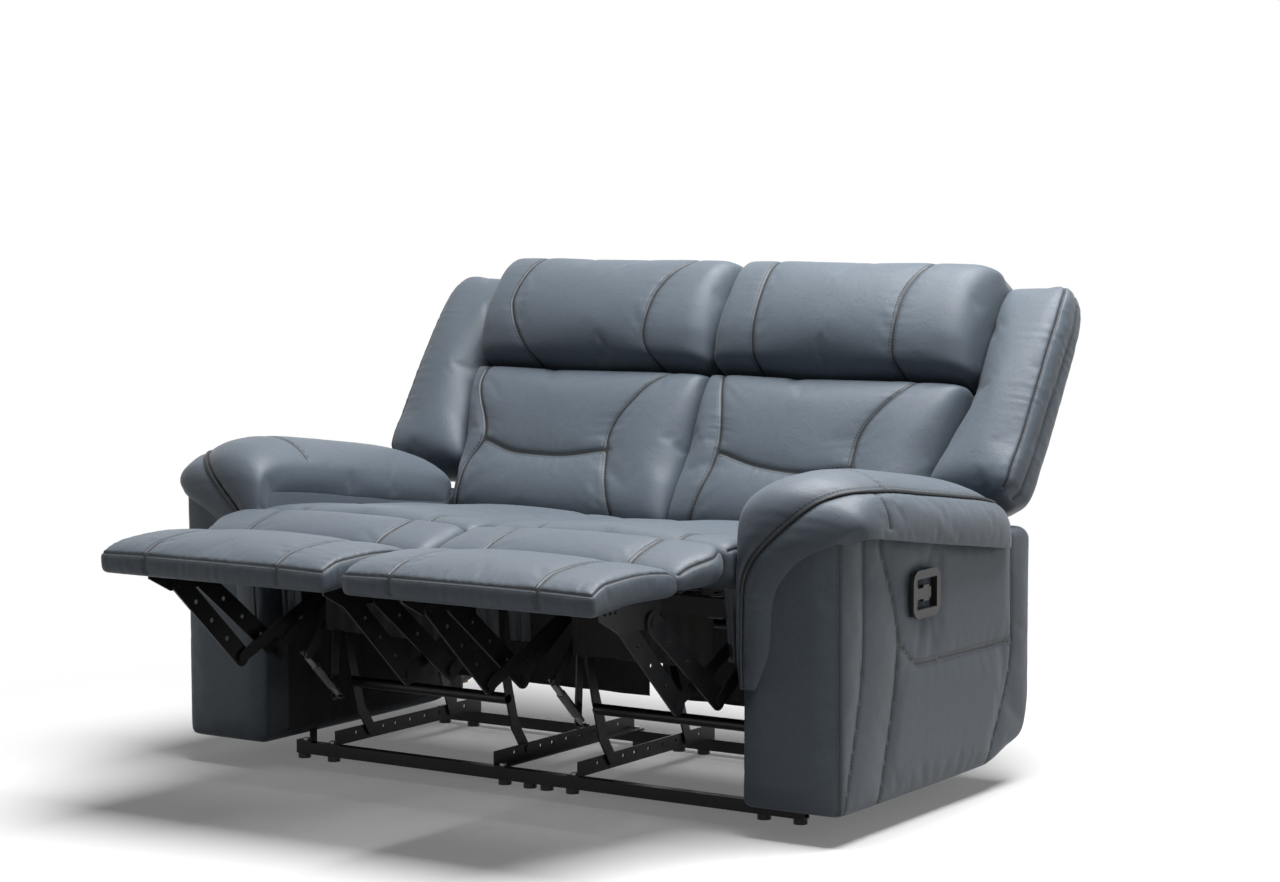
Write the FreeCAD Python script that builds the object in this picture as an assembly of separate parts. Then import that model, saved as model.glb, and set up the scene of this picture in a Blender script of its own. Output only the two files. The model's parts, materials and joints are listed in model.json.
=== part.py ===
"""Two-seat reclining sofa, millimetres, one STEP file for each named piece.

Frame: +X is the viewer's right, -Y is the front, +Z is up. The origin lies on the floor under
the middle of the sofa. The sofa stands with both footrests out and both backs part reclined.
Every piece is drawn for the right-hand half and mirrored in X for the left-hand half.
"""
import FreeCAD
import Part
import math
import os

V = FreeCAD.Vector

# Overall layout
ARM_INNER_X = 560.0
ARM_OUTER_X = 757.0
SEAT_SPLIT_GAP = 3.0
ARM_SIDE_GAP = 5.0
SEAT_CLEARANCE = 0.3

# Base frame of folded steel strips and rails
FOOT_HEIGHT = 10.0
FOOT_RADIUS = 13.0
STRIP_HEIGHT = 24.0
STRIP_WIDTH = 20.0
STRIP_END_X = 598.0
STRIP_JOINT_GAP = 0.15
FRONT_STRIP_Y = -137.0
REAR_STRIP_Y = 340.0
FOOT_PLACES_X = (20.0, 80.0, 508.0, 585.0)
RAIL_HEIGHT = 30.0
RAIL_FLANGE = 25.0
SHEET = 3.0
RAIL_HOLE_RADIUS = 4.0
RAIL_HOLES_Y = (-70.0, 20.0, 60.0, 110.0, 160.0, 210.0, 300.0)
BOLT_RADIUS = 4.0
BOLT_HEAD_RADIUS = 7.0
BOLT_HEAD_HEIGHT = 4.0

# Mechanism: link plates stand in parallel planes, counted outwards from the seat's middle
UNIT_CENTRE_X = 297.5
PLATE = 4.0
PLATE_GAP = 1.0
SIDE_PLATE_OFFSET = 187.0
LINK_HALF_WIDTH = 12.0
WIDE_LINK_HALF_WIDTH = 20.0
LINK_WINDOW_RADIUS = 4.5
LINK_WINDOWS = 3
STUD_RADIUS = 5.0
STUD_HEAD_RADIUS = 8.0
STUD_HEAD_HEIGHT = 2.0
RUNNING_CLEARANCE = 0.05
OPEN_PIVOT_CLEARANCE = 0.3
HEAD_GAP = 0.3

# Pivots in (Y, Z)
KNEE_PIVOT = (-325.0, 525.0)
BRACKET_REAR_PIVOT = (-589.0, 416.0)
BRACKET_FRONT_PIVOT = (-510.0, 412.0)
DRIVE_PIVOT = (-151.0, 363.0)
GUIDE_PIVOT = (-110.0, 360.0)
FRONT_LEG_FOOT = (-25.0, 52.0)
FRONT_LEG_TOP = (-105.0, 268.0)
REAR_LEG_FOOT = (250.0, 52.0)
BACK_FOOT = (423.0, 415.0)
BACK_LEAN = 33.0
BACK_PIVOT_FORWARD = 18.0
SPRING_HANGER = (-150.0, 140.0)
SPRING_LEVER_TIP = (-262.0, 243.0)
LEG_TUBE = (-84.0, 160.0)
LEG_CRANKS = ((-61.0, 104.0), (-80.0, 170.0))
TUBE_RADIUS = 11.0
TUBE_WALL = 2.0
DRIVE_TUBE_RADIUS = 12.0
COLLAR_RADIUS = 17.0

# Lift spring between the drive tube's lever and the side plate's hanger
SPRING_LEVER_OFFSET = 158.0
SPRING_OFFSET = 174.0
SPRING_RADIUS = 7.0
SPRING_PEG_RADIUS = 3.0
SPRING_WIRE_RADIUS = 1.25
SPRING_TURNS = 36
SPRING_LEAD = 8.0
SPRING_HOOK_DEG = 60.0
SPRING_SLEEVE_RADIUS = 9.0
SPRING_SLEEVE_SHARE = (0.3, 0.75)

# Seat
SEAT_FRAME_BOTTOM = 386.0
SEAT_FRAME_HEIGHT = 34.0
SEAT_FRAME_FRONT_Y = -245.0
SEAT_FRAME_REAR_Y = 262.0
FRAME_RAIL_WIDTH = 30.0
SEAT_FRAME_INSET = 22.0
ZIGZAG_COUNT = 5
ZIGZAG_WIRE_RADIUS = 1.8
ZIGZAG_HALF_WIDTH = 22.0
ZIGZAG_TURNS = 18
VALANCE_DROP = 100.0
VALANCE_THICK = 2.0
VALANCE_HALF_SPAN = 155.0
VALANCE_FOLDS = 8
SEAT_SEAMS = (0.22, 0.78)
SIDE_DRAW = 3.0
SEAT_REAR_Y = 270.0

# Footrest
KNEE_GAP = 3.0
FOOTREST_INNER_X = 16.0
FOOTREST_OUTER_X = 555.0
BOARD_THICK = 12.0
BOARD_TOP = 470.0
BOARD_FRONT_Y = -740.0
BOARD_REAR_Y = -495.0
BOARD_INSET = 16.0
PAD_FRONT_Y = -752.0
PAD_REAR_Y = -488.0
PAD_BOTTOM = 450.0
BRACKET_FRONT_Y = -668.0
BRACKET_BACK_Y = -478.0
BRACKET_INNER_OFFSET = 172.0
BRACKET_DROP = 40.0

# Back, measured up the lean from the back's foot and forward from it
BACK_TOP = 566.0
WING_TOP = 598.0
BACK_BOTTOM = 20.0
BACK_PANEL_THICK = 8.0
BACK_POST_DEPTH = 30.0
BACK_POST_WIDTH = 40.0
BRACKET_REACH = 150.0
BACK_COVER_THICK = 16.0
LUMBAR_TOP = 352.0
HEADREST_TOP = 612.0
BACK_SEAMS = (0.2, 0.8)
BACK_FLARE = 42.0
FLARE_START = 108.0
BACK_FRAME_TOP = 530.0
WING_OUTER_X = 765.0

# Arms
ARM_BOTTOM = 53.0
ARM_FRONT_Y = -290.0
ARM_REAR_Y = 470.0
ARM_FRAME_BOTTOM = 84.0
ARM_FRAME_TOP = 470.0
ARM_FRAME_OUTER_X = 712.0
ARM_FRAME_FRONT_Y = -262.0
ARM_FRAME_REAR_Y = 400.0
ARM_BOARD = 12.0
ARM_TOP_FRONT_Z = 570.0
ARM_TOP_SLOPE = -0.133
PAD_END_Y = 334.0
WATERFALL_WIDTH = 52.0
WATERFALL_BOTTOM = 262.0

# Release handle
HANDLE_Y = 12.0
HANDLE_Z = 423.0
BEZEL_WIDTH = 105.0
BEZEL_HEIGHT = 88.0
BEZEL_OUTER_X = 769.0
BEZEL_LIP = 5.0
RECESS_DEPTH = 26.0
PADDLE_THICK = 7.0
PADDLE_HEIGHT = 30.0
PADDLE_PIN_RADIUS = 3.0

PARTS = {}


def back_point(x, up, forward):
    """A point of the back: up along the lean from its foot, and forward of it."""
    lean = math.radians(BACK_LEAN)
    y = BACK_FOOT[0] + up * math.sin(lean) - forward * math.cos(lean)
    z = BACK_FOOT[1] + up * math.cos(lean) + forward * math.sin(lean)
    return V(x, y, z)


def box(x0, x1, y0, y1, z0, z1):
    return Part.makeBox(x1 - x0, y1 - y0, z1 - z0, V(x0, y0, z0))


def rod_x(x0, x1, place, radius):
    return Part.makeCylinder(radius, x1 - x0, V(x0, place[0], place[1]), V(1, 0, 0))


def rod_z(x, y, z0, z1, radius):
    return Part.makeCylinder(radius, z1 - z0, V(x, y, z0), V(0, 0, 1))


def fuse(shapes):
    whole = shapes[0]
    for piece in shapes[1:]:
        whole = whole.fuse(piece)
    return whole.removeSplitter()


def cut(shape, tools):
    for tool in tools:
        shape = shape.cut(tool)
    return shape


def mirrored(shape):
    return shape.mirror(V(0, 0, 0), V(1, 0, 0))


def closed_wire(points, bulges):
    """A closed wire through the points, where a bulge is the arc's rise outwards to the right."""
    edges = []
    for index, start in enumerate(points):
        end = points[(index + 1) % len(points)]
        bulge = bulges[index]
        if isinstance(bulge, V):
            middle = (start + end) * 0.5 + bulge
            edges.append(Part.Arc(start, middle, end).toShape())
        else:
            edges.append(Part.LineSegment(start, end).toShape())
    return Part.Wire(edges)


def loft(wires):
    return Part.makeLoft(wires, True, True)


def slab_x(x0, x1, outline):
    """A plate across X with a straight-sided outline in (Y, Z)."""
    points = [V(x0, y, z) for y, z in outline]
    face = Part.Face(Part.makePolygon(points + [points[0]]))
    return face.extrude(V(x1 - x0, 0, 0))


def bar(x0, x1, start, end, half_width):
    """A round-ended bar between two places in (Y, Z)."""
    dy = end[0] - start[0]
    dz = end[1] - start[1]
    length = math.hypot(dy, dz)
    side = (-dz / length * half_width, dy / length * half_width)
    outline = [
        (start[0] + side[0], start[1] + side[1]),
        (end[0] + side[0], end[1] + side[1]),
        (end[0] - side[0], end[1] - side[1]),
        (start[0] - side[0], start[1] - side[1]),
    ]
    ends = [rod_x(x0, x1, place, half_width) for place in (start, end)]
    return fuse([slab_x(x0, x1, outline)] + ends)


def plate_at(offset, side):
    """The two X limits of a plate that stands at this offset on one side of the seat."""
    if side > 0:
        return UNIT_CENTRE_X + offset, UNIT_CENTRE_X + offset + PLATE
    return UNIT_CENTRE_X - offset - PLATE, UNIT_CENTRE_X - offset


def offset_span(low, high, side):
    if side > 0:
        return UNIT_CENTRE_X + low, UNIT_CENTRE_X + high
    return UNIT_CENTRE_X - high, UNIT_CENTRE_X - low


def both_sides(make):
    return Part.makeCompound([make(side) for side in (-1, 1)])


def stud(side, place, low, high, head_low):
    """A riveted stud across X from offset low to high, with its head beyond one end."""
    x0, x1 = offset_span(low, high, side)
    h0, h1 = offset_span(head_low, head_low + STUD_HEAD_HEIGHT, side)
    return fuse([rod_x(x0, x1, place, STUD_RADIUS), rod_x(h0, h1, place, STUD_HEAD_RADIUS)])


def bore(side, place, low, high, clearance):
    x0, x1 = offset_span(low - PLATE_GAP, high + PLATE_GAP, side)
    return rod_x(x0, x1, place, STUD_RADIUS + clearance)


def shifted(place, start, end):
    return place[0] + end[0] - start[0], place[1] + end[1] - start[1]


# Offsets of the link planes, each one plate and one gap further out
LEG_OFFSET = SIDE_PLATE_OFFSET + PLATE + PLATE_GAP
DRIVE_OFFSET = LEG_OFFSET + PLATE + PLATE_GAP
FRONT_LINK_OFFSET = DRIVE_OFFSET + PLATE + PLATE_GAP
BRACKET_OFFSET = FRONT_LINK_OFFSET + PLATE + PLATE_GAP
UPPER_LINK_OFFSET = BRACKET_OFFSET + PLATE + PLATE_GAP
GUIDE_OFFSET = UPPER_LINK_OFFSET + PLATE + PLATE_GAP
BACK_PLATE_OFFSET = SIDE_PLATE_OFFSET - PLATE_GAP - PLATE

# The open ends of the two footrest parallelograms, and the equal rear leg
DRIVE_TIP = shifted(DRIVE_PIVOT, KNEE_PIVOT, BRACKET_REAR_PIVOT)
GUIDE_TIP = shifted(GUIDE_PIVOT, KNEE_PIVOT, BRACKET_FRONT_PIVOT)
REAR_LEG_TOP = shifted(REAR_LEG_FOOT, FRONT_LEG_FOOT, FRONT_LEG_TOP)
BACK_PIVOT = (back_point(0, 0, BACK_PIVOT_FORWARD).y, back_point(0, 0, BACK_PIVOT_FORWARD).z)
STRIP_TOP = FOOT_HEIGHT + STRIP_HEIGHT


# Base
def make_strip(y0):
    outer = box(STRIP_JOINT_GAP, STRIP_END_X, y0, y0 + STRIP_WIDTH, FOOT_HEIGHT, STRIP_TOP)
    inner = box(STRIP_JOINT_GAP - 1, STRIP_END_X + 1, y0 + SHEET, y0 + STRIP_WIDTH - SHEET,
                FOOT_HEIGHT + SHEET, STRIP_TOP - SHEET)
    drills = []
    for x in bolt_places_x():
        drills.append(rod_z(x, y0 + STRIP_WIDTH / 2, FOOT_HEIGHT - 1, STRIP_TOP + 1,
                            BOLT_RADIUS + RUNNING_CLEARANCE))
    return cut(outer.cut(inner), drills)


def rail_bolt_offset():
    return DRIVE_OFFSET + SHEET + RAIL_FLANGE / 2


def arm_bolt_x():
    return (ARM_INNER_X + STRIP_END_X) / 2


def bolt_places_x():
    rails = [UNIT_CENTRE_X + side * rail_bolt_offset() for side in (-1, 1)]
    return rails + [arm_bolt_x()]


def make_rail(side):
    y0 = FRONT_STRIP_Y
    y1 = REAR_STRIP_Y + STRIP_WIDTH
    web0, web1 = offset_span(DRIVE_OFFSET, DRIVE_OFFSET + SHEET, side)
    foot0, foot1 = offset_span(DRIVE_OFFSET, DRIVE_OFFSET + SHEET + RAIL_FLANGE, side)
    web = box(web0, web1, y0, y1, STRIP_TOP, STRIP_TOP + RAIL_HEIGHT)
    flange = box(foot0, foot1, y0, y1, STRIP_TOP, STRIP_TOP + SHEET)
    drills = [rod_x(web0 - 1, web1 + 1, (y, FRONT_LEG_FOOT[1]), RAIL_HOLE_RADIUS)
              for y in RAIL_HOLES_Y]
    drills.append(bore(side, FRONT_LEG_FOOT, DRIVE_OFFSET, DRIVE_OFFSET + SHEET,
                       RUNNING_CLEARANCE))
    drills.append(bore(side, REAR_LEG_FOOT, DRIVE_OFFSET, DRIVE_OFFSET + SHEET,
                       OPEN_PIVOT_CLEARANCE))
    x = UNIT_CENTRE_X + side * rail_bolt_offset()
    for y in (FRONT_STRIP_Y, REAR_STRIP_Y):
        drills.append(rod_z(x, y + STRIP_WIDTH / 2, STRIP_TOP - 1, STRIP_TOP + SHEET + 1,
                            BOLT_RADIUS + RUNNING_CLEARANCE))
    return cut(fuse([web, flange]), drills)


def make_bolt(x, y, top):
    """A bolt with a head on top and a nut inside the hollow strip."""
    y += STRIP_WIDTH / 2
    nut_top = STRIP_TOP - SHEET
    head = rod_z(x, y, top, top + BOLT_HEAD_HEIGHT, BOLT_HEAD_RADIUS)
    shank = rod_z(x, y, nut_top - BOLT_HEAD_HEIGHT, top, BOLT_RADIUS)
    nut = rod_z(x, y, nut_top - BOLT_HEAD_HEIGHT, nut_top, BOLT_HEAD_RADIUS - 1)
    return fuse([head, shank, nut])


def make_arm_bracket(y0):
    """A folded plate that carries the arm's inner board above the strip's end."""
    x0 = ARM_INNER_X
    x1 = STRIP_END_X
    y1 = y0 + STRIP_WIDTH
    foot = box(x0, x1, y0, y1, STRIP_TOP, STRIP_TOP + SHEET)
    web = box(x0, x0 + SHEET, y0, y1, STRIP_TOP, ARM_FRAME_BOTTOM)
    head = box(x0, x1, y0, y1, ARM_FRAME_BOTTOM - SHEET, ARM_FRAME_BOTTOM)
    drill = rod_z(arm_bolt_x(), y0 + STRIP_WIDTH / 2, STRIP_TOP - 1, STRIP_TOP + SHEET + 1,
                  BOLT_RADIUS + RUNNING_CLEARANCE)
    return fuse([foot, web, head]).cut(drill)


def make_base():
    feet = []
    bolts = []
    brackets = []
    for y0 in (FRONT_STRIP_Y, REAR_STRIP_Y):
        for x in FOOT_PLACES_X:
            feet.append(rod_z(x, y0 + STRIP_WIDTH / 2, 0, FOOT_HEIGHT, FOOT_RADIUS))
        for x in bolt_places_x():
            bolts.append(make_bolt(x, y0, STRIP_TOP + SHEET))
        brackets.append(make_arm_bracket(y0))
    rails = [make_rail(side) for side in (-1, 1)]
    groups = {
        "front_strips": [make_strip(FRONT_STRIP_Y)],
        "rear_strips": [make_strip(REAR_STRIP_Y)],
        "side_rails": rails,
        "glide_feet": feet,
        "frame_bolts": bolts,
        "arm_brackets": brackets,
    }
    for name, shapes in groups.items():
        whole = shapes + [mirrored(shape) for shape in shapes]
        PARTS[name] = Part.makeCompound(whole)


# Arms
def arm_top(y):
    return ARM_TOP_FRONT_Z + ARM_TOP_SLOPE * (y - ARM_FRONT_Y)


def make_arm_frame():
    """Five boards: two sides, two ends and a top, open below."""
    x0 = ARM_INNER_X
    x1 = ARM_FRAME_OUTER_X
    y0 = ARM_FRAME_FRONT_Y
    y1 = ARM_FRAME_REAR_Y
    z0 = ARM_FRAME_BOTTOM
    z1 = ARM_FRAME_TOP
    t = ARM_BOARD
    boards = [
        box(x0, x0 + t, y0, y1, z0, z1 - t),
        box(x1 - t, x1, y0, y1, z0, z1 - t),
        box(x0 + t, x1 - t, y0, y0 + t, z0, z1 - t),
        box(x0 + t, x1 - t, y1 - t, y1, z0, z1 - t),
        box(x0, x1, y0, y1, z1 - t, z1),
    ]
    return Part.makeCompound(boards)


def arm_outline(x, inset):
    """The arm body's side outline in one X plane, drawn in by the inset."""
    y0 = ARM_FRONT_Y + inset
    y1 = ARM_REAR_Y - inset
    z0 = ARM_BOTTOM + inset
    points = [
        V(x, y0 + 8, z0),
        V(x, 284 - inset, z0),
        V(x, y1 - 25, 92 + inset),
        V(x, y1, 200),
        V(x, y1, arm_top(y1) - inset),
        V(x, y0, arm_top(y0) - inset),
        V(x, y0, 200),
    ]
    flat = [0, V(0, 8, -8), V(0, 3, -3), 0, 0, 0, 0]
    return closed_wire(points, flat)


def make_arm_cover():
    body = loft([arm_outline(ARM_INNER_X, 4), arm_outline(ARM_INNER_X + 12, 0),
                 arm_outline(ARM_OUTER_X - 22, 0), arm_outline(ARM_OUTER_X, 14)])
    g = SEAT_CLEARANCE
    hollow = box(ARM_INNER_X - 1, ARM_FRAME_OUTER_X + g, ARM_FRAME_FRONT_Y - g,
                 ARM_FRAME_REAR_Y + g, 0, ARM_FRAME_TOP + g)
    strip_room = box(ARM_INNER_X - 1, ARM_INNER_X + WATERFALL_WIDTH, ARM_FRONT_Y - 1,
                     ARM_FRAME_FRONT_Y - g, WATERFALL_BOTTOM, ARM_TOP_FRONT_Z + 20)
    return cut(body, [hollow, strip_room, bezel_body(g)])


def pad_section(y, inner_x, outer_x, rise, shoulder):
    """One cross section of the arm pad: flat below, drawn-in sides and a crowned top."""
    low = arm_top(y) + SEAT_CLEARANCE
    top = low + rise
    ridge = inner_x + 0.42 * (outer_x - inner_x)
    points = [
        V(inner_x, y, low),
        V(outer_x - 6, y, low),
        V(outer_x, y, low + shoulder),
        V(ridge, y, top),
        V(inner_x, y, low + shoulder + 10),
    ]
    flat = [0, V(4, 0, 0), V(10, 0, 16), V(-6, 0, 14), V(3, 0, 0)]
    return closed_wire(points, flat)


def make_arm_pad():
    stations = [
        (ARM_FRONT_Y - 2, ARM_INNER_X + 14, 745, 62, 34),
        (ARM_FRONT_Y + 18, ARM_INNER_X + 2, 782, 90, 52),
        (-190, ARM_INNER_X, 796, 108, 60),
        (0, ARM_INNER_X, 794, 116, 62),
        (190, ARM_INNER_X, 788, 118, 64),
        (290, ARM_INNER_X, 782, 100, 60),
        (PAD_END_Y, ARM_INNER_X + 8, 772, 62, 40),
    ]
    pad = loft([pad_section(*station) for station in stations])
    x0 = ARM_INNER_X
    x1 = ARM_INNER_X + WATERFALL_WIDTH - SEAT_CLEARANCE
    y0 = ARM_FRONT_Y
    y1 = ARM_FRAME_FRONT_Y - 2 * SEAT_CLEARANCE
    rungs = []
    for z, draw in ((WATERFALL_BOTTOM + 0.5, 9), (WATERFALL_BOTTOM + 60, 2), (430, 0),
                    (arm_top(y0) + 16, 0)):
        points = [V(x0, y1, z), V(x0, y0 + 8 + draw, z), V(x0 + 12, y0 + draw, z),
                  V(x1 - 12, y0 + draw, z), V(x1, y0 + 8 + draw, z), V(x1, y1, z)]
        rungs.append(closed_wire(points, [0, V(-2, -2, 0), V(0, -3, 0), V(2, -2, 0), 0, 0]))
    return fuse([pad, loft(rungs)])


# Release handle
def bezel_body(grow):
    """The bezel's sunk body, from the arm's outer board to under its lip."""
    half_w = BEZEL_WIDTH / 2 - BEZEL_LIP + grow
    half_h = BEZEL_HEIGHT / 2 - BEZEL_LIP + grow
    return box(ARM_FRAME_OUTER_X, ARM_OUTER_X + 20, HANDLE_Y - half_w, HANDLE_Y + half_w,
               HANDLE_Z - half_h, HANDLE_Z + half_h)


def handle_recess(inset):
    """The hollow in the bezel: wide at the rear where fingers go in behind the paddle."""
    half_w = BEZEL_WIDTH / 2 - 14 - inset
    half_h = BEZEL_HEIGHT / 2 - 16 - inset
    return box(BEZEL_OUTER_X - RECESS_DEPTH, BEZEL_OUTER_X + 1, HANDLE_Y - half_w,
               HANDLE_Y + half_w, HANDLE_Z - half_h, HANDLE_Z + half_h)


def paddle_pin():
    return BEZEL_OUTER_X - 8.0, HANDLE_Y - BEZEL_WIDTH / 2 + 20.0


def make_bezel():
    x, y = paddle_pin()
    body = bezel_body(0).common(box(0, BEZEL_OUTER_X - 4, -500, 500, 0, 1000))
    half_w = BEZEL_WIDTH / 2
    half_h = BEZEL_HEIGHT / 2
    lip = box(BEZEL_OUTER_X - 4, BEZEL_OUTER_X, HANDLE_Y - half_w, HANDLE_Y + half_w,
              HANDLE_Z - half_h, HANDLE_Z + half_h)
    upright = [edge for edge in lip.Edges if abs(edge.Vertexes[0].X - edge.Vertexes[1].X) > 1]
    lip = lip.makeFillet(22, upright)
    pin_hole = rod_z(x, y, HANDLE_Z - half_h + 8, HANDLE_Z + half_h - 8,
                     PADDLE_PIN_RADIUS + RUNNING_CLEARANCE)
    return cut(fuse([body, lip]), [handle_recess(0), pin_hole])


def make_paddle():
    """A T-shaped pull paddle hinged on an upright pin near the front of the recess."""
    x, y = paddle_pin()
    half_h = PADDLE_HEIGHT / 2
    stem = box(x - PADDLE_THICK / 2, x + PADDLE_THICK / 2, y, y + 56, HANDLE_Z - 10,
               HANDLE_Z + 10)
    tip = box(x - PADDLE_THICK / 2, x + PADDLE_THICK / 2, y + 26, y + 48,
              HANDLE_Z - half_h, HANDLE_Z + half_h)
    knuckle = rod_z(x, y, HANDLE_Z - half_h, HANDLE_Z + half_h, 5)
    pin = rod_z(x, y, HANDLE_Z - BEZEL_HEIGHT / 2 + 9, HANDLE_Z + BEZEL_HEIGHT / 2 - 9,
                PADDLE_PIN_RADIUS)
    return fuse([stem, tip, knuckle, pin])


def make_arms():
    pieces = {
        "arm_frame": make_arm_frame(),
        "arm_cover": make_arm_cover(),
        "arm_pad": make_arm_pad(),
        "handle_bezel": make_bezel(),
        "handle_paddle": make_paddle(),
    }
    add_pair(pieces)


def add_pair(pieces):
    for name, shape in pieces.items():
        PARTS["right_" + name] = shape
        PARTS["left_" + name] = mirrored(shape)


# Legs and links
def link(side, offset, start, end, bores, studs):
    x0, x1 = plate_at(offset, side)
    shape = cut(bar(x0, x1, start, end, LINK_HALF_WIDTH), bores)
    return fuse([shape] + studs) if studs else shape


def wide_link(side, offset, start, end, bores):
    """A wide link plate with a row of open holes between its two pivots."""
    x0, x1 = plate_at(offset, side)
    windows = []
    for k in range(1, LINK_WINDOWS + 1):
        share = k / (LINK_WINDOWS + 1)
        at = [start[i] + share * (end[i] - start[i]) for i in (0, 1)]
        windows.append(rod_x(min(x0, x1) - 1, max(x0, x1) + 1, at, LINK_WINDOW_RADIUS))
    return cut(bar(x0, x1, start, end, WIDE_LINK_HALF_WIDTH), bores + windows)


def make_front_leg_pair():
    """Two cranked leg plates welded to one cross tube."""
    shapes = []
    for side in (-1, 1):
        x0, x1 = plate_at(LEG_OFFSET, side)
        path = [FRONT_LEG_FOOT, LEG_CRANKS[0], LEG_CRANKS[1], FRONT_LEG_TOP]
        bars = [bar(x0, x1, path[i], path[i + 1], LINK_HALF_WIDTH) for i in range(3)]
        foot = stud(side, FRONT_LEG_FOOT, LEG_OFFSET, DRIVE_OFFSET + SHEET + HEAD_GAP,
                    DRIVE_OFFSET + SHEET + HEAD_GAP)
        top = stud(side, FRONT_LEG_TOP, SIDE_PLATE_OFFSET - HEAD_GAP, LEG_OFFSET + PLATE,
                   SIDE_PLATE_OFFSET - HEAD_GAP - STUD_HEAD_HEIGHT)
        shapes.append(fuse(bars + [foot, top]))
    half = LEG_OFFSET + 1
    tube = rod_x(UNIT_CENTRE_X - half, UNIT_CENTRE_X + half, LEG_TUBE, TUBE_RADIUS)
    bore_x = rod_x(UNIT_CENTRE_X - half - 10, UNIT_CENTRE_X + half + 10, LEG_TUBE,
                   TUBE_RADIUS - TUBE_WALL)
    return cut(fuse(shapes + [tube]), [bore_x])


def make_rear_legs():
    def one(side):
        foot = stud(side, REAR_LEG_FOOT, LEG_OFFSET, DRIVE_OFFSET + SHEET + HEAD_GAP,
                    DRIVE_OFFSET + SHEET + HEAD_GAP)
        top = stud(side, REAR_LEG_TOP, SIDE_PLATE_OFFSET - HEAD_GAP, LEG_OFFSET + PLATE,
                   SIDE_PLATE_OFFSET - HEAD_GAP - STUD_HEAD_HEIGHT)
        return link(side, LEG_OFFSET, REAR_LEG_FOOT, REAR_LEG_TOP, [], [foot, top])
    return both_sides(one)


def make_drive_links(spring_side):
    """The long rear links of the footrest, welded to the drive tube and its spring lever."""
    shapes = []
    for side in (-1, 1):
        tip = stud(side, DRIVE_TIP, DRIVE_OFFSET, FRONT_LINK_OFFSET + PLATE + HEAD_GAP,
                   FRONT_LINK_OFFSET + PLATE + HEAD_GAP)
        shapes.append(link(side, DRIVE_OFFSET, DRIVE_PIVOT, DRIVE_TIP, [], [tip]))
        c0, c1 = offset_span(SIDE_PLATE_OFFSET + PLATE + HEAD_GAP, DRIVE_OFFSET + 1, side)
        shapes.append(rod_x(c0, c1, DRIVE_PIVOT, COLLAR_RADIUS))
    half = DRIVE_OFFSET + 1
    tube = rod_x(UNIT_CENTRE_X - half, UNIT_CENTRE_X + half, DRIVE_PIVOT, DRIVE_TUBE_RADIUS)
    lever0, lever1 = plate_at(SPRING_LEVER_OFFSET, spring_side)
    lever = bar(lever0, lever1, DRIVE_PIVOT, SPRING_LEVER_TIP, 10)
    peg0, peg1 = offset_span(SPRING_LEVER_OFFSET + 1, SPRING_OFFSET + SPRING_RADIUS + 3,
                             spring_side)
    peg = rod_x(peg0, peg1, SPRING_LEVER_TIP, SPRING_PEG_RADIUS)
    inner = rod_x(UNIT_CENTRE_X - half - 10, UNIT_CENTRE_X + half + 10, DRIVE_PIVOT,
                  DRIVE_TUBE_RADIUS - TUBE_WALL)
    return fuse(shapes + [tube, lever, peg]).cut(inner)


def make_front_links():
    """The front links of the footrest, between the bracket and the drive link's tip."""
    def one(side):
        low = FRONT_LINK_OFFSET
        bores = [bore(side, DRIVE_TIP, low, low + PLATE, OPEN_PIVOT_CLEARANCE),
                 bore(side, BRACKET_REAR_PIVOT, low, low + PLATE, RUNNING_CLEARANCE)]
        return wide_link(side, low, BRACKET_REAR_PIVOT, DRIVE_TIP, bores)
    return both_sides(one)


def make_guide_links():
    """The short rear links beside the drive links."""
    def one(side):
        low = GUIDE_OFFSET
        tip = stud(side, GUIDE_TIP, UPPER_LINK_OFFSET - HEAD_GAP, low + PLATE,
                   UPPER_LINK_OFFSET - HEAD_GAP - STUD_HEAD_HEIGHT)
        bores = [bore(side, GUIDE_PIVOT, low, low + PLATE, RUNNING_CLEARANCE)]
        return link(side, low, GUIDE_PIVOT, GUIDE_TIP, bores, [tip])
    return both_sides(one)


def make_upper_links():
    """The front links beside the guide links."""
    def one(side):
        low = UPPER_LINK_OFFSET
        bores = [bore(side, GUIDE_TIP, low, low + PLATE, OPEN_PIVOT_CLEARANCE),
                 bore(side, BRACKET_FRONT_PIVOT, low, low + PLATE, RUNNING_CLEARANCE)]
        return wide_link(side, low, BRACKET_FRONT_PIVOT, GUIDE_TIP, bores)
    return both_sides(one)


def tangent_arc(start, corner, end):
    """The arc from start to end whose end tangents meet at the corner."""
    chord = end - start
    middle = (start + end) * 0.5
    rise = corner - middle
    half = chord.Length / 2
    slope = math.atan2(rise.Length, half)
    return Part.Arc(start, middle + rise.normalize() * (half * math.tan(slope / 2)), end).toShape()


def biarc(start, leaving, end, arriving):
    """Two arcs that join start to end along the given unit tangents."""
    span = end - start
    reach = span.dot(leaving + arriving)
    turn = 2 * (1 - leaving.dot(arriving))
    step = (math.sqrt(reach * reach + turn * span.dot(span)) - reach) / turn
    first = start + leaving * step
    second = end - arriving * step
    middle = (first + second) * 0.5
    return [tangent_arc(start, first, middle), tangent_arc(middle, second, end)]


def least_gap(edges, radius, skip):
    """The narrowest gap of a wire to itself, between points that lie further on than skip."""
    points = []
    for edge in edges:
        points += edge.discretize(5)[:-1]
    least = 1e9
    for index, point in enumerate(points):
        for other in points[index + skip:]:
            least = min(least, point.distanceToPoint(other))
    return least - 2 * radius


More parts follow.
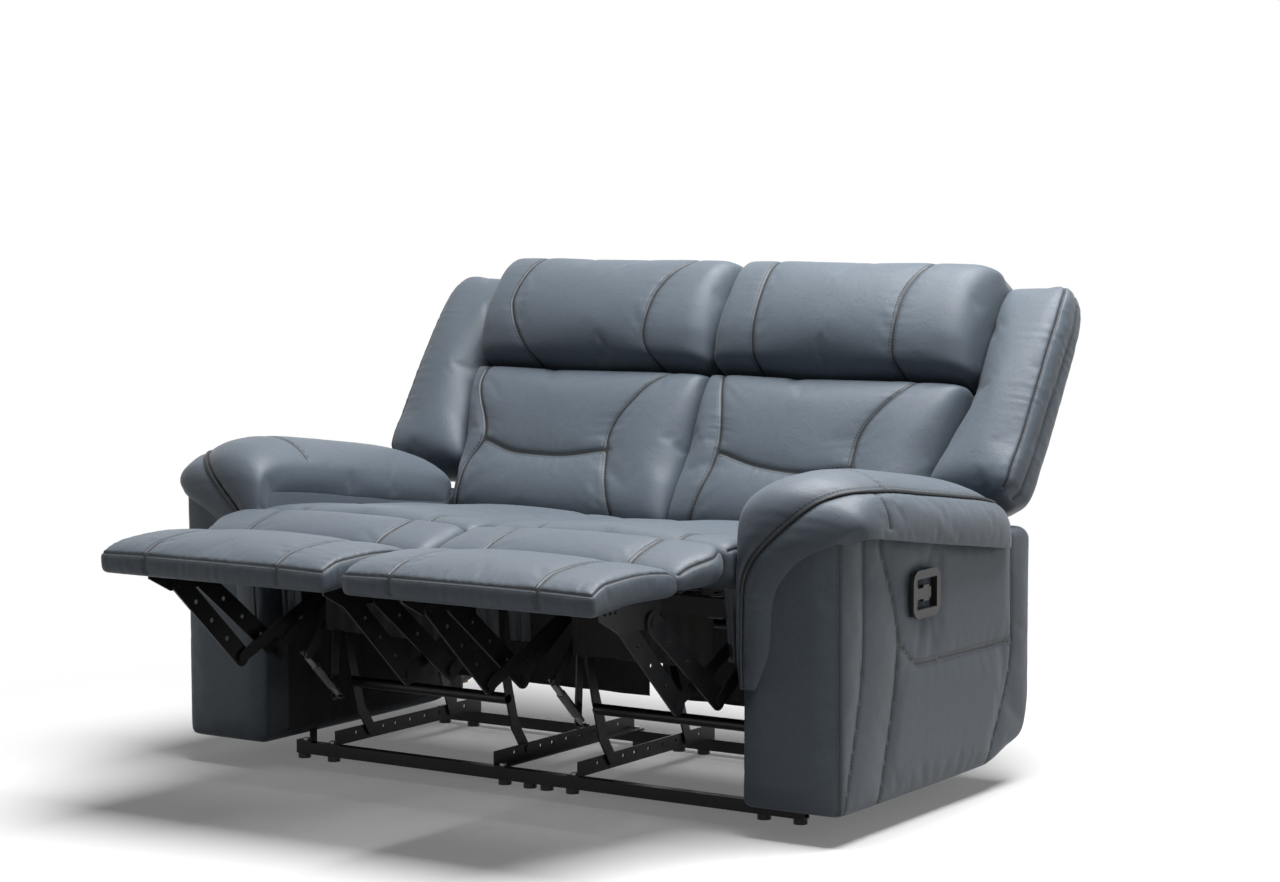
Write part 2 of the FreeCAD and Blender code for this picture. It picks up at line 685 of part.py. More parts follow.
def make_lift_spring(spring_side):
    """An open coil with a hooked eye at each end, and a sleeve round its middle."""
    x = UNIT_CENTRE_X + spring_side * SPRING_OFFSET
    start = V(x, SPRING_LEVER_TIP[0], SPRING_LEVER_TIP[1])
    end = V(x, SPRING_HANGER[0], SPRING_HANGER[1])
    along = (end - start).normalize()
    side = V(1, 0, 0)
    fore = side.cross(along)
    length = (end - start).Length
    eye = SPRING_PEG_RADIUS + OPEN_PIVOT_CLEARANCE + SPRING_WIRE_RADIUS
    coil = SPRING_RADIUS - SPRING_WIRE_RADIUS
    first = eye + SPRING_LEAD
    pitch = (length - 2 * first) / SPRING_TURNS
    hook = math.radians(SPRING_HOOK_DEG)

    def local(a, b, c):
        return start + along * a + side * b + fore * c

    def coil_point(quarter):
        angle = quarter * math.pi / 2
        place = local(first + pitch * quarter / 4, coil * math.sin(angle),
                      -coil * math.cos(angle))
        way = (along * (pitch / (2 * math.pi * coil)) + side * math.cos(angle)
               + fore * math.sin(angle))
        return place, way.normalize()

    rise = eye * math.sin(hook)
    run = eye * math.cos(hook)
    low_eye = Part.Arc(local(run, 0, rise), local(-eye, 0, 0), local(0, 0, -eye)).toShape()
    high_eye = Part.Arc(local(length, 0, -eye), local(length + eye, 0, 0),
                        local(length - run, 0, rise)).toShape()
    nodes = [(local(0, 0, -eye), along)]
    nodes += [coil_point(quarter) for quarter in range(4 * SPRING_TURNS + 1)]
    nodes.append((local(length, 0, -eye), along))
    edges = [low_eye]
    for before, after in zip(nodes, nodes[1:]):
        edges += biarc(before[0], before[1], after[0], after[1])
    edges.append(high_eye)
    path = Part.Wire(edges)
    first_tangent = along * -math.sin(hook) + fore * math.cos(hook)
    circle = Part.Wire(Part.makeCircle(SPRING_WIRE_RADIUS, local(run, 0, rise), first_tangent))
    wire = path.makePipeShell([circle], True, False)
    print("lift spring least gap to itself %.2f mm"
          % least_gap(edges[1:-1], SPRING_WIRE_RADIUS, 20))
    low, high = [share * length for share in SPRING_SLEEVE_SHARE]
    sleeve = Part.makeCylinder(SPRING_SLEEVE_RADIUS, high - low, start + along * low, along)
    bore_in = Part.makeCylinder(SPRING_RADIUS + OPEN_PIVOT_CLEARANCE, high - low + 2,
                                start + along * (low - 1), along)
    return Part.makeCompound([wire, sleeve.cut(bore_in)])


# Seat
def make_side_plates(spring_side):
    def one(side):
        x0, x1 = plate_at(SIDE_PLATE_OFFSET, side)
        half = LINK_HALF_WIDTH + 4
        beam = box(x0, x1, -170, 300, 334, SEAT_FRAME_BOTTOM)
        nose = rod_x(x0, x1, DRIVE_PIVOT, DRIVE_TUBE_RADIUS + 12)
        front_lug = bar(x0, x1, (FRONT_LEG_TOP[0], 350), FRONT_LEG_TOP, half)
        rear_lug = bar(x0, x1, (REAR_LEG_TOP[0], 350), REAR_LEG_TOP, half)
        rear_arm = bar(x0, x1, (286, 358), BACK_PIVOT, half)
        shapes = [beam, nose, front_lug, rear_lug, rear_arm]
        if side == spring_side:
            shapes.append(bar(x0, x1, (-140, 345), SPRING_HANGER, 10))
            p0, p1 = offset_span(SPRING_OFFSET - SPRING_RADIUS - 3, SIDE_PLATE_OFFSET + 1, side)
            shapes.append(rod_x(p0, p1, SPRING_HANGER, SPRING_PEG_RADIUS))
        f0, f1 = offset_span(SIDE_PLATE_OFFSET - 26, SIDE_PLATE_OFFSET + PLATE, side)
        shapes.append(box(f0, f1, SEAT_FRAME_FRONT_Y + 2, SEAT_FRAME_REAR_Y - 2,
                          SEAT_FRAME_BOTTOM - SHEET, SEAT_FRAME_BOTTOM))
        guide = stud(side, GUIDE_PIVOT, SIDE_PLATE_OFFSET, GUIDE_OFFSET + PLATE + HEAD_GAP,
                     GUIDE_OFFSET + PLATE + HEAD_GAP)
        bores = [bore(side, place, SIDE_PLATE_OFFSET, SIDE_PLATE_OFFSET + PLATE,
                      RUNNING_CLEARANCE)
                 for place in (FRONT_LEG_TOP, REAR_LEG_TOP, BACK_PIVOT)]
        t0, t1 = offset_span(SIDE_PLATE_OFFSET - 1, SIDE_PLATE_OFFSET + PLATE + 1, side)
        bores.append(rod_x(t0, t1, DRIVE_PIVOT, DRIVE_TUBE_RADIUS + RUNNING_CLEARANCE))
        return fuse([cut(fuse(shapes), bores), guide])
    return both_sides(one)


def seat_span():
    return SEAT_SPLIT_GAP, ARM_INNER_X - ARM_SIDE_GAP


def make_seat_frame():
    """Four rails that lie across the side plates."""
    x0, x1 = seat_span()
    x0 += SEAT_FRAME_INSET
    x1 -= SEAT_FRAME_INSET
    z0 = SEAT_FRAME_BOTTOM
    z1 = SEAT_FRAME_BOTTOM + SEAT_FRAME_HEIGHT
    y0 = SEAT_FRAME_FRONT_Y
    y1 = SEAT_FRAME_REAR_Y
    w = FRAME_RAIL_WIDTH
    return Part.makeCompound([
        box(x0, x1, y0, y0 + w, z0, z1),
        box(x0, x1, y1 - w, y1, z0, z1),
        box(x0, x0 + w, y0 + w, y1 - w, z0, z1),
        box(x1 - w, x1, y0 + w, y1 - w, z0, z1),
    ])


def sinuous_spring(x):
    """One flat zigzag spring of half-circle turns from the front rail to the rear rail."""
    z = SEAT_FRAME_BOTTOM + SEAT_FRAME_HEIGHT + ZIGZAG_WIRE_RADIUS
    y = SEAT_FRAME_FRONT_Y + FRAME_RAIL_WIDTH / 2
    span = SEAT_FRAME_REAR_Y - FRAME_RAIL_WIDTH / 2 - y
    radius = span / (2 * ZIGZAG_TURNS)
    reach = ZIGZAG_HALF_WIDTH - radius
    edges = []
    way = 1
    for turn in range(ZIGZAG_TURNS):
        start = V(x - way * reach, y, z)
        corner = V(x + way * reach, y, z)
        edges.append(Part.LineSegment(start, corner).toShape())
        y += 2 * radius
        peak = V(x + way * (reach + radius), y - radius, z)
        edges.append(Part.Arc(corner, peak, V(x + way * reach, y, z)).toShape())
        way = -way
    edges.append(Part.LineSegment(V(x - way * reach, y, z), V(x + way * reach, y, z)).toShape())
    path = Part.Wire(edges)
    first = path.Vertexes[0].Point
    circle = Part.Wire(Part.makeCircle(ZIGZAG_WIRE_RADIUS, first, V(1, 0, 0)))
    return path.makePipeShell([circle], True, False)


def make_seat_springs():
    x0, x1 = seat_span()
    pitch = (x1 - x0) / (ZIGZAG_COUNT + 1)
    return Part.makeCompound([sinuous_spring(x0 + pitch * (n + 1)) for n in range(ZIGZAG_COUNT)])


def level_place(y):
    """A cross section that stands upright at this Y: (x, z) gives its points."""
    def place(x, z):
        return V(x, y, z)
    return place


def crowned_section(place, x0, x1, low, edge, crown, seams):
    """A cushion's cross section: flat below, drawn-in sides and a crown with sewn channels.

    The function place turns (x, height) into a point of the section's plane.
    """
    up = place(0, 1) - place(0, 0)
    side = (place(1, 0) - place(0, 0)) * (SIDE_DRAW * min(1.0, (edge - low) / 60.0))
    marks = [x0] + [x0 + share * (x1 - x0) for share in seams] + [x1]
    tops = [edge] + [edge + crown] * len(seams) + [edge]
    points = [place(x1, low)]
    bulges = [side * -1]
    for x, height in reversed(list(zip(marks, tops))):
        points.append(place(x, height))
        bulges.append(up * (6 + crown * 0.25))
    bulges[-1] = side
    points.append(place(x0, low))
    bulges.append(0)
    return closed_wire(points, bulges)


def level_cushion(x0, x1, stations):
    """A cushion through stations of (y, low, edge height, crown, drawn-in ends)."""
    wires = []
    for y, low, edge, crown, draw in stations:
        wires.append(crowned_section(level_place(y), x0 + draw, x1 - draw, low, edge, crown,
                                     SEAT_SEAMS))
    return loft(wires)


def make_seat_cushion():
    x0, x1 = seat_span()
    top = SEAT_FRAME_BOTTOM + SEAT_FRAME_HEIGHT + 2 * ZIGZAG_WIRE_RADIUS + SEAT_CLEARANCE
    return level_cushion(x0, x1, [
        (SEAT_REAR_Y, 452.0, 460.0, 10.0, 8.0),
        (SEAT_REAR_Y - 26, top, 468.0, 14.0, 4.0),
        (120.0, top, 484.0, 16.0, 0.0),
        (-60.0, top, 502.0, 18.0, 2.0),
        (-200.0, top, 516.0, 18.0, 0.0),
        (-250.0, 446.0, 519.0, 18.0, 3.0),
        (KNEE_PIVOT[0] + KNEE_GAP, KNEE_PIVOT[1] + 1, KNEE_PIVOT[1] + 8, 14.0, 8.0),
    ])


def make_valance():
    """The hanging cloth panel behind the front rail, with shallow upright folds."""
    x0, x1 = offset_span(-VALANCE_HALF_SPAN, VALANCE_HALF_SPAN, 1)
    y = SEAT_FRAME_FRONT_Y + FRAME_RAIL_WIDTH - VALANCE_THICK
    pitch = (x1 - x0) / VALANCE_FOLDS
    wires = []
    for z, depth in ((SEAT_FRAME_BOTTOM, 0.8), (SEAT_FRAME_BOTTOM - VALANCE_DROP, 4.0)):
        front = [V(x0 + pitch * n, y, z) for n in range(VALANCE_FOLDS + 1)]
        rear = [point + V(0, VALANCE_THICK, 0) for point in reversed(front)]
        waves = [V(0, depth if n % 2 else -depth, 0) for n in range(VALANCE_FOLDS)]
        wires.append(closed_wire(front + rear, waves + [0] + waves[::-1] + [0]))
    return loft(wires)


# Footrest
def make_footrest_board():
    x0 = FOOTREST_INNER_X + BOARD_INSET
    x1 = FOOTREST_OUTER_X - BOARD_INSET
    return box(x0, x1, BOARD_FRONT_Y, BOARD_REAR_Y, BOARD_TOP - BOARD_THICK, BOARD_TOP)


def make_footrest_pad():
    """The front pad, hollowed below to sit round the board."""
    x0 = FOOTREST_INNER_X
    x1 = FOOTREST_OUTER_X
    g = SEAT_CLEARANCE
    pad = level_cushion(x0, x1, [
        (PAD_FRONT_Y, PAD_BOTTOM, 474.0, 4.0, 10.0),
        (PAD_FRONT_Y + 14, PAD_BOTTOM, 488.0, 10.0, 3.0),
        (-690.0, PAD_BOTTOM, 500.0, 16.0, 0.0),
        (-610.0, PAD_BOTTOM, 504.0, 18.0, 2.0),
        (-540.0, PAD_BOTTOM, 502.0, 16.0, 0.0),
        (PAD_REAR_Y, PAD_BOTTOM, 490.0, 10.0, 6.0),
    ])
    room = box(x0 + BOARD_INSET - g, x1 - BOARD_INSET + g, BOARD_FRONT_Y - g, PAD_REAR_Y + 5,
               0, BOARD_TOP + g)
    return pad.cut(room)


def make_knee_pad():
    x0, x1 = seat_span()
    return level_cushion(x0, x1, [
        (KNEE_PIVOT[0] - KNEE_GAP, KNEE_PIVOT[1] + 1, KNEE_PIVOT[1] + 8, 14.0, 8.0),
        (-400.0, 466.0, 518.0, 16.0, 2.0),
        (-440.0, 460.0, 508.0, 14.0, 6.0),
        (PAD_REAR_Y + SEAT_CLEARANCE, 464.0, 490.0, 10.0, 16.0),
    ])


def make_footrest_brackets():
    """A channel under each side of the board, with webs for the two pairs of links."""
    def one(side):
        top = BOARD_TOP - BOARD_THICK
        low = top - SHEET - BRACKET_DROP
        high = BRACKET_OFFSET + PLATE
        f0, f1 = offset_span(BRACKET_INNER_OFFSET, high, side)
        flange = box(f0, f1, BRACKET_FRONT_Y, BOARD_REAR_Y, top - SHEET, top)
        w0, w1 = plate_at(BRACKET_OFFSET, side)
        i0, i1 = plate_at(BRACKET_INNER_OFFSET, side)
        front = BRACKET_FRONT_Y
        outline = [(front, top - SHEET), (front, top - 26), (BRACKET_REAR_PIVOT[0] - 20, low - 12),
                   (BRACKET_FRONT_PIVOT[0] + 14, low - 12), (BRACKET_BACK_Y, top - 24),
                   (BRACKET_BACK_Y, top - SHEET)]
        web = slab_x(w0, w1, outline)
        inner = box(i0, i1, front, BOARD_REAR_Y, top - 22, top - SHEET)
        drills = [rod_x(w0 - 1, w1 + 1, (front + 14 + 16 * n, top - 15), RAIL_HOLE_RADIUS)
                  for n in range(3)]
        shape = cut(fuse([flange, web, inner]), drills)
        rear = stud(side, BRACKET_REAR_PIVOT, FRONT_LINK_OFFSET - HEAD_GAP,
                    BRACKET_OFFSET + PLATE, FRONT_LINK_OFFSET - HEAD_GAP - STUD_HEAD_HEIGHT)
        upper_end = UPPER_LINK_OFFSET + PLATE + HEAD_GAP
        ahead = stud(side, BRACKET_FRONT_PIVOT, BRACKET_OFFSET, upper_end, upper_end)
        return fuse([shape, rear, ahead])
    return both_sides(one)


# Back
def back_box(x0, x1, up0, up1, forward0, forward1):
    corners = [(up0, forward0), (up0, forward1), (up1, forward1), (up1, forward0)]
    points = [back_point(x0, up, forward) for up, forward in corners]
    face = Part.Face(Part.makePolygon(points + [points[0]]))
    return face.extrude(V(x1 - x0, 0, 0))


def back_place(up):
    def place(x, forward):
        return back_point(x, up, forward)
    return place


def make_back_frame():
    """A plywood panel with two posts, a top batten and a bottom batten."""
    x0, x1 = seat_span()
    x0 += SEAT_FRAME_INSET
    x1 -= SEAT_FRAME_INSET
    t = BACK_PANEL_THICK
    depth = BACK_POST_DEPTH
    top = BACK_FRAME_TOP
    boards = [back_box(x0, x1, BACK_BOTTOM, top, -t, 0)]
    posts = []
    for side in (-1, 1):
        p0, p1 = offset_span(BACK_PLATE_OFFSET - BACK_POST_WIDTH, BACK_PLATE_OFFSET, side)
        posts.append(back_box(p0, p1, BACK_BOTTOM, top, 0, depth))
    inner0 = UNIT_CENTRE_X - BACK_PLATE_OFFSET + BACK_POST_WIDTH
    inner1 = UNIT_CENTRE_X + BACK_PLATE_OFFSET - BACK_POST_WIDTH
    battens = [back_box(inner0, inner1, up, up + BACK_POST_WIDTH, 0, depth)
               for up in (BACK_BOTTOM, (BACK_BOTTOM + top) / 2, top - BACK_POST_WIDTH)]
    return Part.makeCompound(boards + posts + battens)


def make_back_brackets():
    """The steel plates that hinge the back on the seat's side plates."""
    def one(side):
        x0, x1 = plate_at(BACK_PLATE_OFFSET, side)
        head = back_point(0, BRACKET_REACH, BACK_POST_DEPTH / 2)
        shape = bar(x0, x1, BACK_PIVOT, (head.y, head.z), LINK_HALF_WIDTH)
        pivot = stud(side, BACK_PIVOT, BACK_PLATE_OFFSET, SIDE_PLATE_OFFSET + PLATE + HEAD_GAP,
                     SIDE_PLATE_OFFSET + PLATE + HEAD_GAP)
        return fuse([shape, pivot])
    return both_sides(one)


def flare(up):
    """The X of the back's outer joint: inside the arm below FLARE_START, wider above it."""
    share = (up - FLARE_START) / (LUMBAR_TOP - FLARE_START)
    return ARM_INNER_X + BACK_FLARE * min(1.0, share)


def back_cushion(stations):
    """A cushion through stations of (up, rear, edge, crown, drawn-in ends) on the back."""
    x0 = seat_span()[0]
    wires = []
    for up, low, edge, crown, draw in stations:
        x1 = flare(up) - SEAT_CLEARANCE
        wires.append(crowned_section(back_place(up), x0 + draw, x1 - draw, low, edge, crown,
                                     BACK_SEAMS))
    return loft(wires)


def make_back_cushion():
    rear = BACK_POST_DEPTH + SEAT_CLEARANCE
    return back_cushion([
        (-27.0, 84.0, 124.0, 8.0, 12.0),
        (12.0, rear + 2, 138.0, 12.0, 5.0),
        (FLARE_START, rear, 142.0, 16.0, 3.0),
        (165.0, rear, 134.0, 10.0, 2.0),
        (225.0, rear, 142.0, 14.0, 0.0),
        (310.0, rear, 142.0, 12.0, 0.0),
        (LUMBAR_TOP, rear, 134.0, 10.0, 3.0),
    ])


def make_headrest():
    """The headrest cushion, which rolls back over the top of the frame."""
    rear = BACK_POST_DEPTH + SEAT_CLEARANCE
    panel = -BACK_PANEL_THICK
    return back_cushion([
        (LUMBAR_TOP + 2 * SEAT_CLEARANCE, rear, 146.0, 10.0, 3.0),
        (LUMBAR_TOP + 26, rear, 176.0, 16.0, 0.0),
        (440.0, rear, 188.0, 18.0, 0.0),
        (BACK_FRAME_TOP + SEAT_CLEARANCE, rear, 188.0, 18.0, 0.0),
        (BACK_FRAME_TOP + 4, panel, 187.0, 18.0, 0.0),
        (570.0, panel, 180.0, 16.0, 3.0),
        (600.0, panel + 24, 164.0, 12.0, 12.0),
        (HEADREST_TOP, panel + 70, 142.0, 6.0, 30.0),
    ])


def wing_section(up, outer, front_in, front_out, rear):
    """One cross section of the wing: slanted front, full outer side and a cut rear corner."""
    place = back_place(up)
    x0 = flare(up) + SEAT_CLEARANCE
    points = [place(x0, rear), place(outer - 42, rear - 4), place(outer - 6, rear + 68),
              place(outer - 6, front_out - 14), place(outer - 26, front_out),
              place(x0, front_in)]
    out = place(1, 0) - place(0, 0)
    fore = place(0, 1) - place(0, 0)
    bulges = [fore * -3, out * 6 + fore * -4, out * 5, out * 3 + fore * 3, fore * 8, 0]
    return closed_wire(points, bulges)


def make_wing():
    rear = -BACK_PANEL_THICK - BACK_COVER_THICK - SEAT_CLEARANCE
    stations = [
        (118.0, WING_OUTER_X - 22, 122.0, 128.0, 20.0),
        (140.0, WING_OUTER_X - 6, 126.0, 142.0, rear + 4),
        (LUMBAR_TOP, WING_OUTER_X, 124.0, 146.0, rear),
        (500.0, WING_OUTER_X - 2, 118.0, 142.0, rear),
        (568.0, WING_OUTER_X - 12, 108.0, 126.0, rear + 2),
        (WING_TOP, WING_OUTER_X - 36, 84.0, 96.0, rear + 22),
    ]
    return loft([wing_section(*station) for station in stations])


def make_back_cover():
    """The padded outside back, drawn in at its edges."""
    x0 = seat_span()[0]
    near = -BACK_PANEL_THICK - SEAT_CLEARANCE
    far = near - BACK_COVER_THICK
    wires = []
    for up, draw, depth in ((-30.0, 8, 6), (0.0, 3, 0), (FLARE_START, 1, 0), (LUMBAR_TOP, 0, 0),
                            (520.0, 2, 0), (BACK_TOP, 8, 6)):
        place = back_place(up)
        low = x0 + draw
        high = flare(up) - SEAT_CLEARANCE - draw
        points = [place(low, near), place(low, far + depth + 4), place(low + 20, far + depth),
                  place(high - 20, far + depth), place(high, far + depth + 4),
                  place(high, near)]
        fore = place(0, 1) - place(0, 0)
        wires.append(closed_wire(points, [0, 0, fore * -3, 0, 0, 0]))
    return loft(wires)


def make_seats():
    add_pair({
        "front_legs": make_front_leg_pair(),
        "rear_legs": make_rear_legs(),
        "seat_frame": make_seat_frame(),
        "seat_springs": make_seat_springs(),
        "seat_cushion": make_seat_cushion(),
        "valance": make_valance(),
        "front_links": make_front_links(),
        "guide_links": make_guide_links(),
        "upper_links": make_upper_links(),
        "footrest_board": make_footrest_board(),
        "footrest_pad": make_footrest_pad(),
        "footrest_brackets": make_footrest_brackets(),
        "knee_pad": make_knee_pad(),
        "back_frame": make_back_frame(),
        "back_brackets": make_back_brackets(),
        "back_cushion": make_back_cushion(),
        "headrest": make_headrest(),
        "wing": make_wing(),
        "back_cover": make_back_cover(),
    })
    for name, make in (("side_plates", make_side_plates), ("drive_links", make_drive_links),
                       ("lift_spring", make_lift_spring)):
        PARTS["right_" + name] = make(-1)
        PARTS["left_" + name] = mirrored(make(1))


def main():
    make_base()
    make_arms()
    make_seats()
    os.makedirs("parts", exist_ok=True)
    for name in sorted(PARTS):
        shape = PARTS[name]
        shape.exportStep(os.path.join("parts", name + ".step"))
        box_of = shape.BoundBox
        print("%-28s solids %2d  valid %s  volume %9.1f cm3  x %6.1f %6.1f  y %6.1f %6.1f  z %6.1f %6.1f"
              % (name, len(shape.Solids), shape.isValid(), shape.Volume / 1000.0,
                 box_of.XMin, box_of.XMax, box_of.YMin, box_of.YMax, box_of.ZMin, box_of.ZMax))


main()
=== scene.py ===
"""Two-seat reclining sofa: upholstery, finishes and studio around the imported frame, in metres."""
import bpy
import json
import math
import numpy as np
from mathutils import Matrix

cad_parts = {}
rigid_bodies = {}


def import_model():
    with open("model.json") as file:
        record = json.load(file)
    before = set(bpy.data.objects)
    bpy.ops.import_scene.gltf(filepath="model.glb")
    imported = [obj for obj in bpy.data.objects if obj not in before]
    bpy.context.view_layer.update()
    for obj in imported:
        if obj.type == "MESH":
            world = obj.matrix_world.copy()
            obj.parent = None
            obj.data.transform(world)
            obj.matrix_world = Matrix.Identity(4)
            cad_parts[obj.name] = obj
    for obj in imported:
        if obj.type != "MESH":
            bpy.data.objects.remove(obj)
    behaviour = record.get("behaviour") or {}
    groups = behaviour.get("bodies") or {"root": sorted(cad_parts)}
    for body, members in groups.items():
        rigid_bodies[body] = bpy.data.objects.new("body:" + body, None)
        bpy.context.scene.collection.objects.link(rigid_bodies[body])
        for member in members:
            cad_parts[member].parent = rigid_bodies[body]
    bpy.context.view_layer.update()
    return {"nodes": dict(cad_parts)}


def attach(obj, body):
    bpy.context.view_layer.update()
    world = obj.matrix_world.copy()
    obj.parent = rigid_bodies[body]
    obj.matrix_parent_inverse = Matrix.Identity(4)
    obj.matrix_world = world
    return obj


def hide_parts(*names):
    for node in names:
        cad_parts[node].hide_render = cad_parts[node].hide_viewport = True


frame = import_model()

bl_info = {
    "name": "Reclining Sofa",
    "version": (1, 0, 0),
    "blender": (4, 5, 0),
    "location": "View3D > Sidebar > Sofa",
    "description": "Builds the padded leather and the finishes of a two-seat reclining sofa",
    "category": "Object",
}

BACK_LEAN = math.radians(33)
BACK_FOOT = (0.423, 0.415)
HANDLE = (0.012, 0.423)


class SofaLeather(bpy.types.PropertyGroup):
    """Colours and surface of the leather."""
    hide: bpy.props.FloatVectorProperty(
        name="Hide", description="Colour of the leather", subtype="COLOR", size=3,
        default=(0.082, 0.103, 0.127), min=0, max=1)
    thread: bpy.props.FloatVectorProperty(
        name="Thread", description="Colour of the stitching", subtype="COLOR", size=3,
        default=(0.022, 0.025, 0.028), min=0, max=1)
    stitch: bpy.props.FloatProperty(
        name="Stitch", description="Length of one stitch with its gap", default=0.0062,
        min=0.003, max=0.02, unit="LENGTH")
    pipe_radius: bpy.props.FloatProperty(
        name="Piping", description="Radius of the piping cords", default=0.0036,
        min=0.002, max=0.006, unit="LENGTH")


class SofaPadding(bpy.types.PropertyGroup):
    """How full and how gathered the padded pieces are."""
    cell: bpy.props.FloatProperty(
        name="Cell", description="Spacing of the mesh before its last subdivision",
        default=0.009, min=0.006, max=0.02, unit="LENGTH")
    pressure: bpy.props.FloatProperty(
        name="Pressure", description="Pressure of the filling", default=2.6, min=0, max=10)
    slack: bpy.props.FloatProperty(
        name="Slack", description="Share by which the cover is cut larger than its filling",
        default=0.003, min=0, max=0.1, subtype="FACTOR")
    groove: bpy.props.FloatProperty(
        name="Groove", description="Depth of a sewn seam", default=0.0034, min=0, max=0.02,
        unit="LENGTH")
    gather: bpy.props.FloatProperty(
        name="Gather", description="Height of the small gathers along a seam", default=0.0004,
        min=0, max=0.004, unit="LENGTH")


class SofaStudio(bpy.types.PropertyGroup):
    """Lamps of the studio."""
    sky: bpy.props.FloatProperty(
        name="Sky", description="Even light from all round", default=0.07, min=0, max=2)
    softbox: bpy.props.FloatProperty(
        name="Softbox", description="Power of the large lamp overhead", default=240,
        min=0, max=2000, unit="POWER")
    fill: bpy.props.FloatProperty(
        name="Fill", description="Power of the lamp beside the camera", default=14,
        min=0, max=500, unit="POWER")


def monotone(knots, rows, at):
    """Smooth curves through rows of values at the knots, with no overshoot."""
    knots = np.asarray(knots, float)
    rows = np.asarray(rows, float)
    step = np.diff(knots)[:, None]
    rise = np.diff(rows, axis=0) / step
    slope = np.zeros_like(rows)
    slope[0], slope[-1] = rise[0], rise[-1]
    same = rise[1:] * rise[:-1] > 0
    mean = 2 * rise[1:] * rise[:-1] / np.where(same, rise[1:] + rise[:-1], 1)
    slope[1:-1] = np.where(same, mean, 0)
    at = np.clip(at, knots[0], knots[-1])
    k = np.clip(np.searchsorted(knots, at, side="right") - 1, 0, len(knots) - 2)
    h = (knots[k + 1] - knots[k])[:, None]
    t = (at - knots[k])[:, None] / h
    return ((1 + 2 * t) * (1 - t) ** 2 * rows[k] + t * (1 - t) ** 2 * h * slope[k]
            + t * t * (3 - 2 * t) * rows[k + 1] + t * t * (t - 1) * h * slope[k + 1])


def box_grid(nx, ny, nz):
    """Shares and quads of the six faces of a block of nx by ny by nz cells."""
    i, j, k = np.meshgrid(np.arange(nx + 1), np.arange(ny + 1), np.arange(nz + 1), indexing="ij")
    rim = (i % nx == 0) | (j % ny == 0) | (k % nz == 0)
    ids = np.zeros(rim.shape, int)
    ids[rim] = np.arange(rim.sum())
    shares = np.column_stack([i[rim] / nx, j[rim] / ny, k[rim] / nz])
    quads = []
    for sheet, turned in ((ids[:, :, nz], 0), (ids[:, :, 0], 1), (ids[nx], 0), (ids[0], 1),
                          (ids[:, 0, :], 0), (ids[:, ny, :], 1)):
        q = np.stack([sheet[:-1, :-1], sheet[1:, :-1], sheet[1:, 1:], sheet[:-1, 1:]], -1)
        q = q.reshape(-1, 4)
        quads.append(q[:, ::-1] if turned else q)
    return shares, np.concatenate(quads), ids


def rounded(shares, size, radius):
    """Moves shares of a block of the given size so that its edges have the given radius."""
    r = np.minimum(radius, np.asarray(size) * 0.49)
    p = shares * size
    q = np.clip(p, r, size - r)
    d = (p - q) / r
    far = np.linalg.norm(d, axis=1, keepdims=True)
    return (q + r * d / np.maximum(far, 1e-9)) / size


def waves(run, length, phase=0.0):
    """Uneven ripples from -1 to 1 along a run."""
    w = 2 * math.pi * run / length
    return 0.6 * np.sin(w + 1.3 * np.sin(0.37 * w + phase) + phase) \
        + 0.4 * np.sin(1.62 * w + 2.1 * np.sin(0.23 * w + 2 * phase) + 1.7)


def new_object(name, points, quads):
    mesh = bpy.data.meshes.new(name)
    mesh.from_pydata(points.tolist(), [], quads.tolist())
    mesh.validate()
    piece = bpy.data.objects.new(name, mesh)
    bpy.context.scene.collection.objects.link(piece)
    return piece


def read_points(piece):
    flat = np.empty(len(piece.data.vertices) * 3)
    piece.data.vertices.foreach_get("co", flat)
    return flat.reshape(-1, 3)


def write_points(piece, points):
    piece.data.vertices.foreach_set("co", np.ascontiguousarray(points).ravel())
    piece.data.update()


def read_normals(piece):
    flat = np.empty(len(piece.data.vertices) * 3)
    piece.data.vertex_normals.foreach_get("vector", flat)
    return flat.reshape(-1, 3)


def put_values(piece, name, values):
    layer = piece.data.attributes.new(name, "FLOAT", "POINT")
    layer.data.foreach_set("value", np.asarray(values, float))


def get_values(piece, name):
    flat = np.empty(len(piece.data.vertices))
    piece.data.attributes[name].data.foreach_get("value", flat)
    return flat


def face_outwards(piece):
    """Turns a closed mesh's faces round if they point inwards."""
    mesh = piece.data
    points = read_points(piece)
    centre = points.mean(axis=0)
    volume = 0.0
    for face in mesh.polygons:
        v = [points[i] - centre for i in face.vertices]
        volume += np.dot(v[0], np.cross(v[1], v[2])) + np.dot(v[0], np.cross(v[2], v[3]))
    if volume < 0:
        mesh.flip_normals()


def only(piece):
    for other in bpy.context.selected_objects:
        other.select_set(False)
    piece.select_set(True)
    bpy.context.view_layer.objects.active = piece


def apply_modifier(piece, kind, **settings):
    only(piece)
    modifier = piece.modifiers.new(kind.lower(), kind)
    for key, value in settings.items():
        setattr(modifier, key, value)
    bpy.ops.object.modifier_apply(modifier=modifier.name)


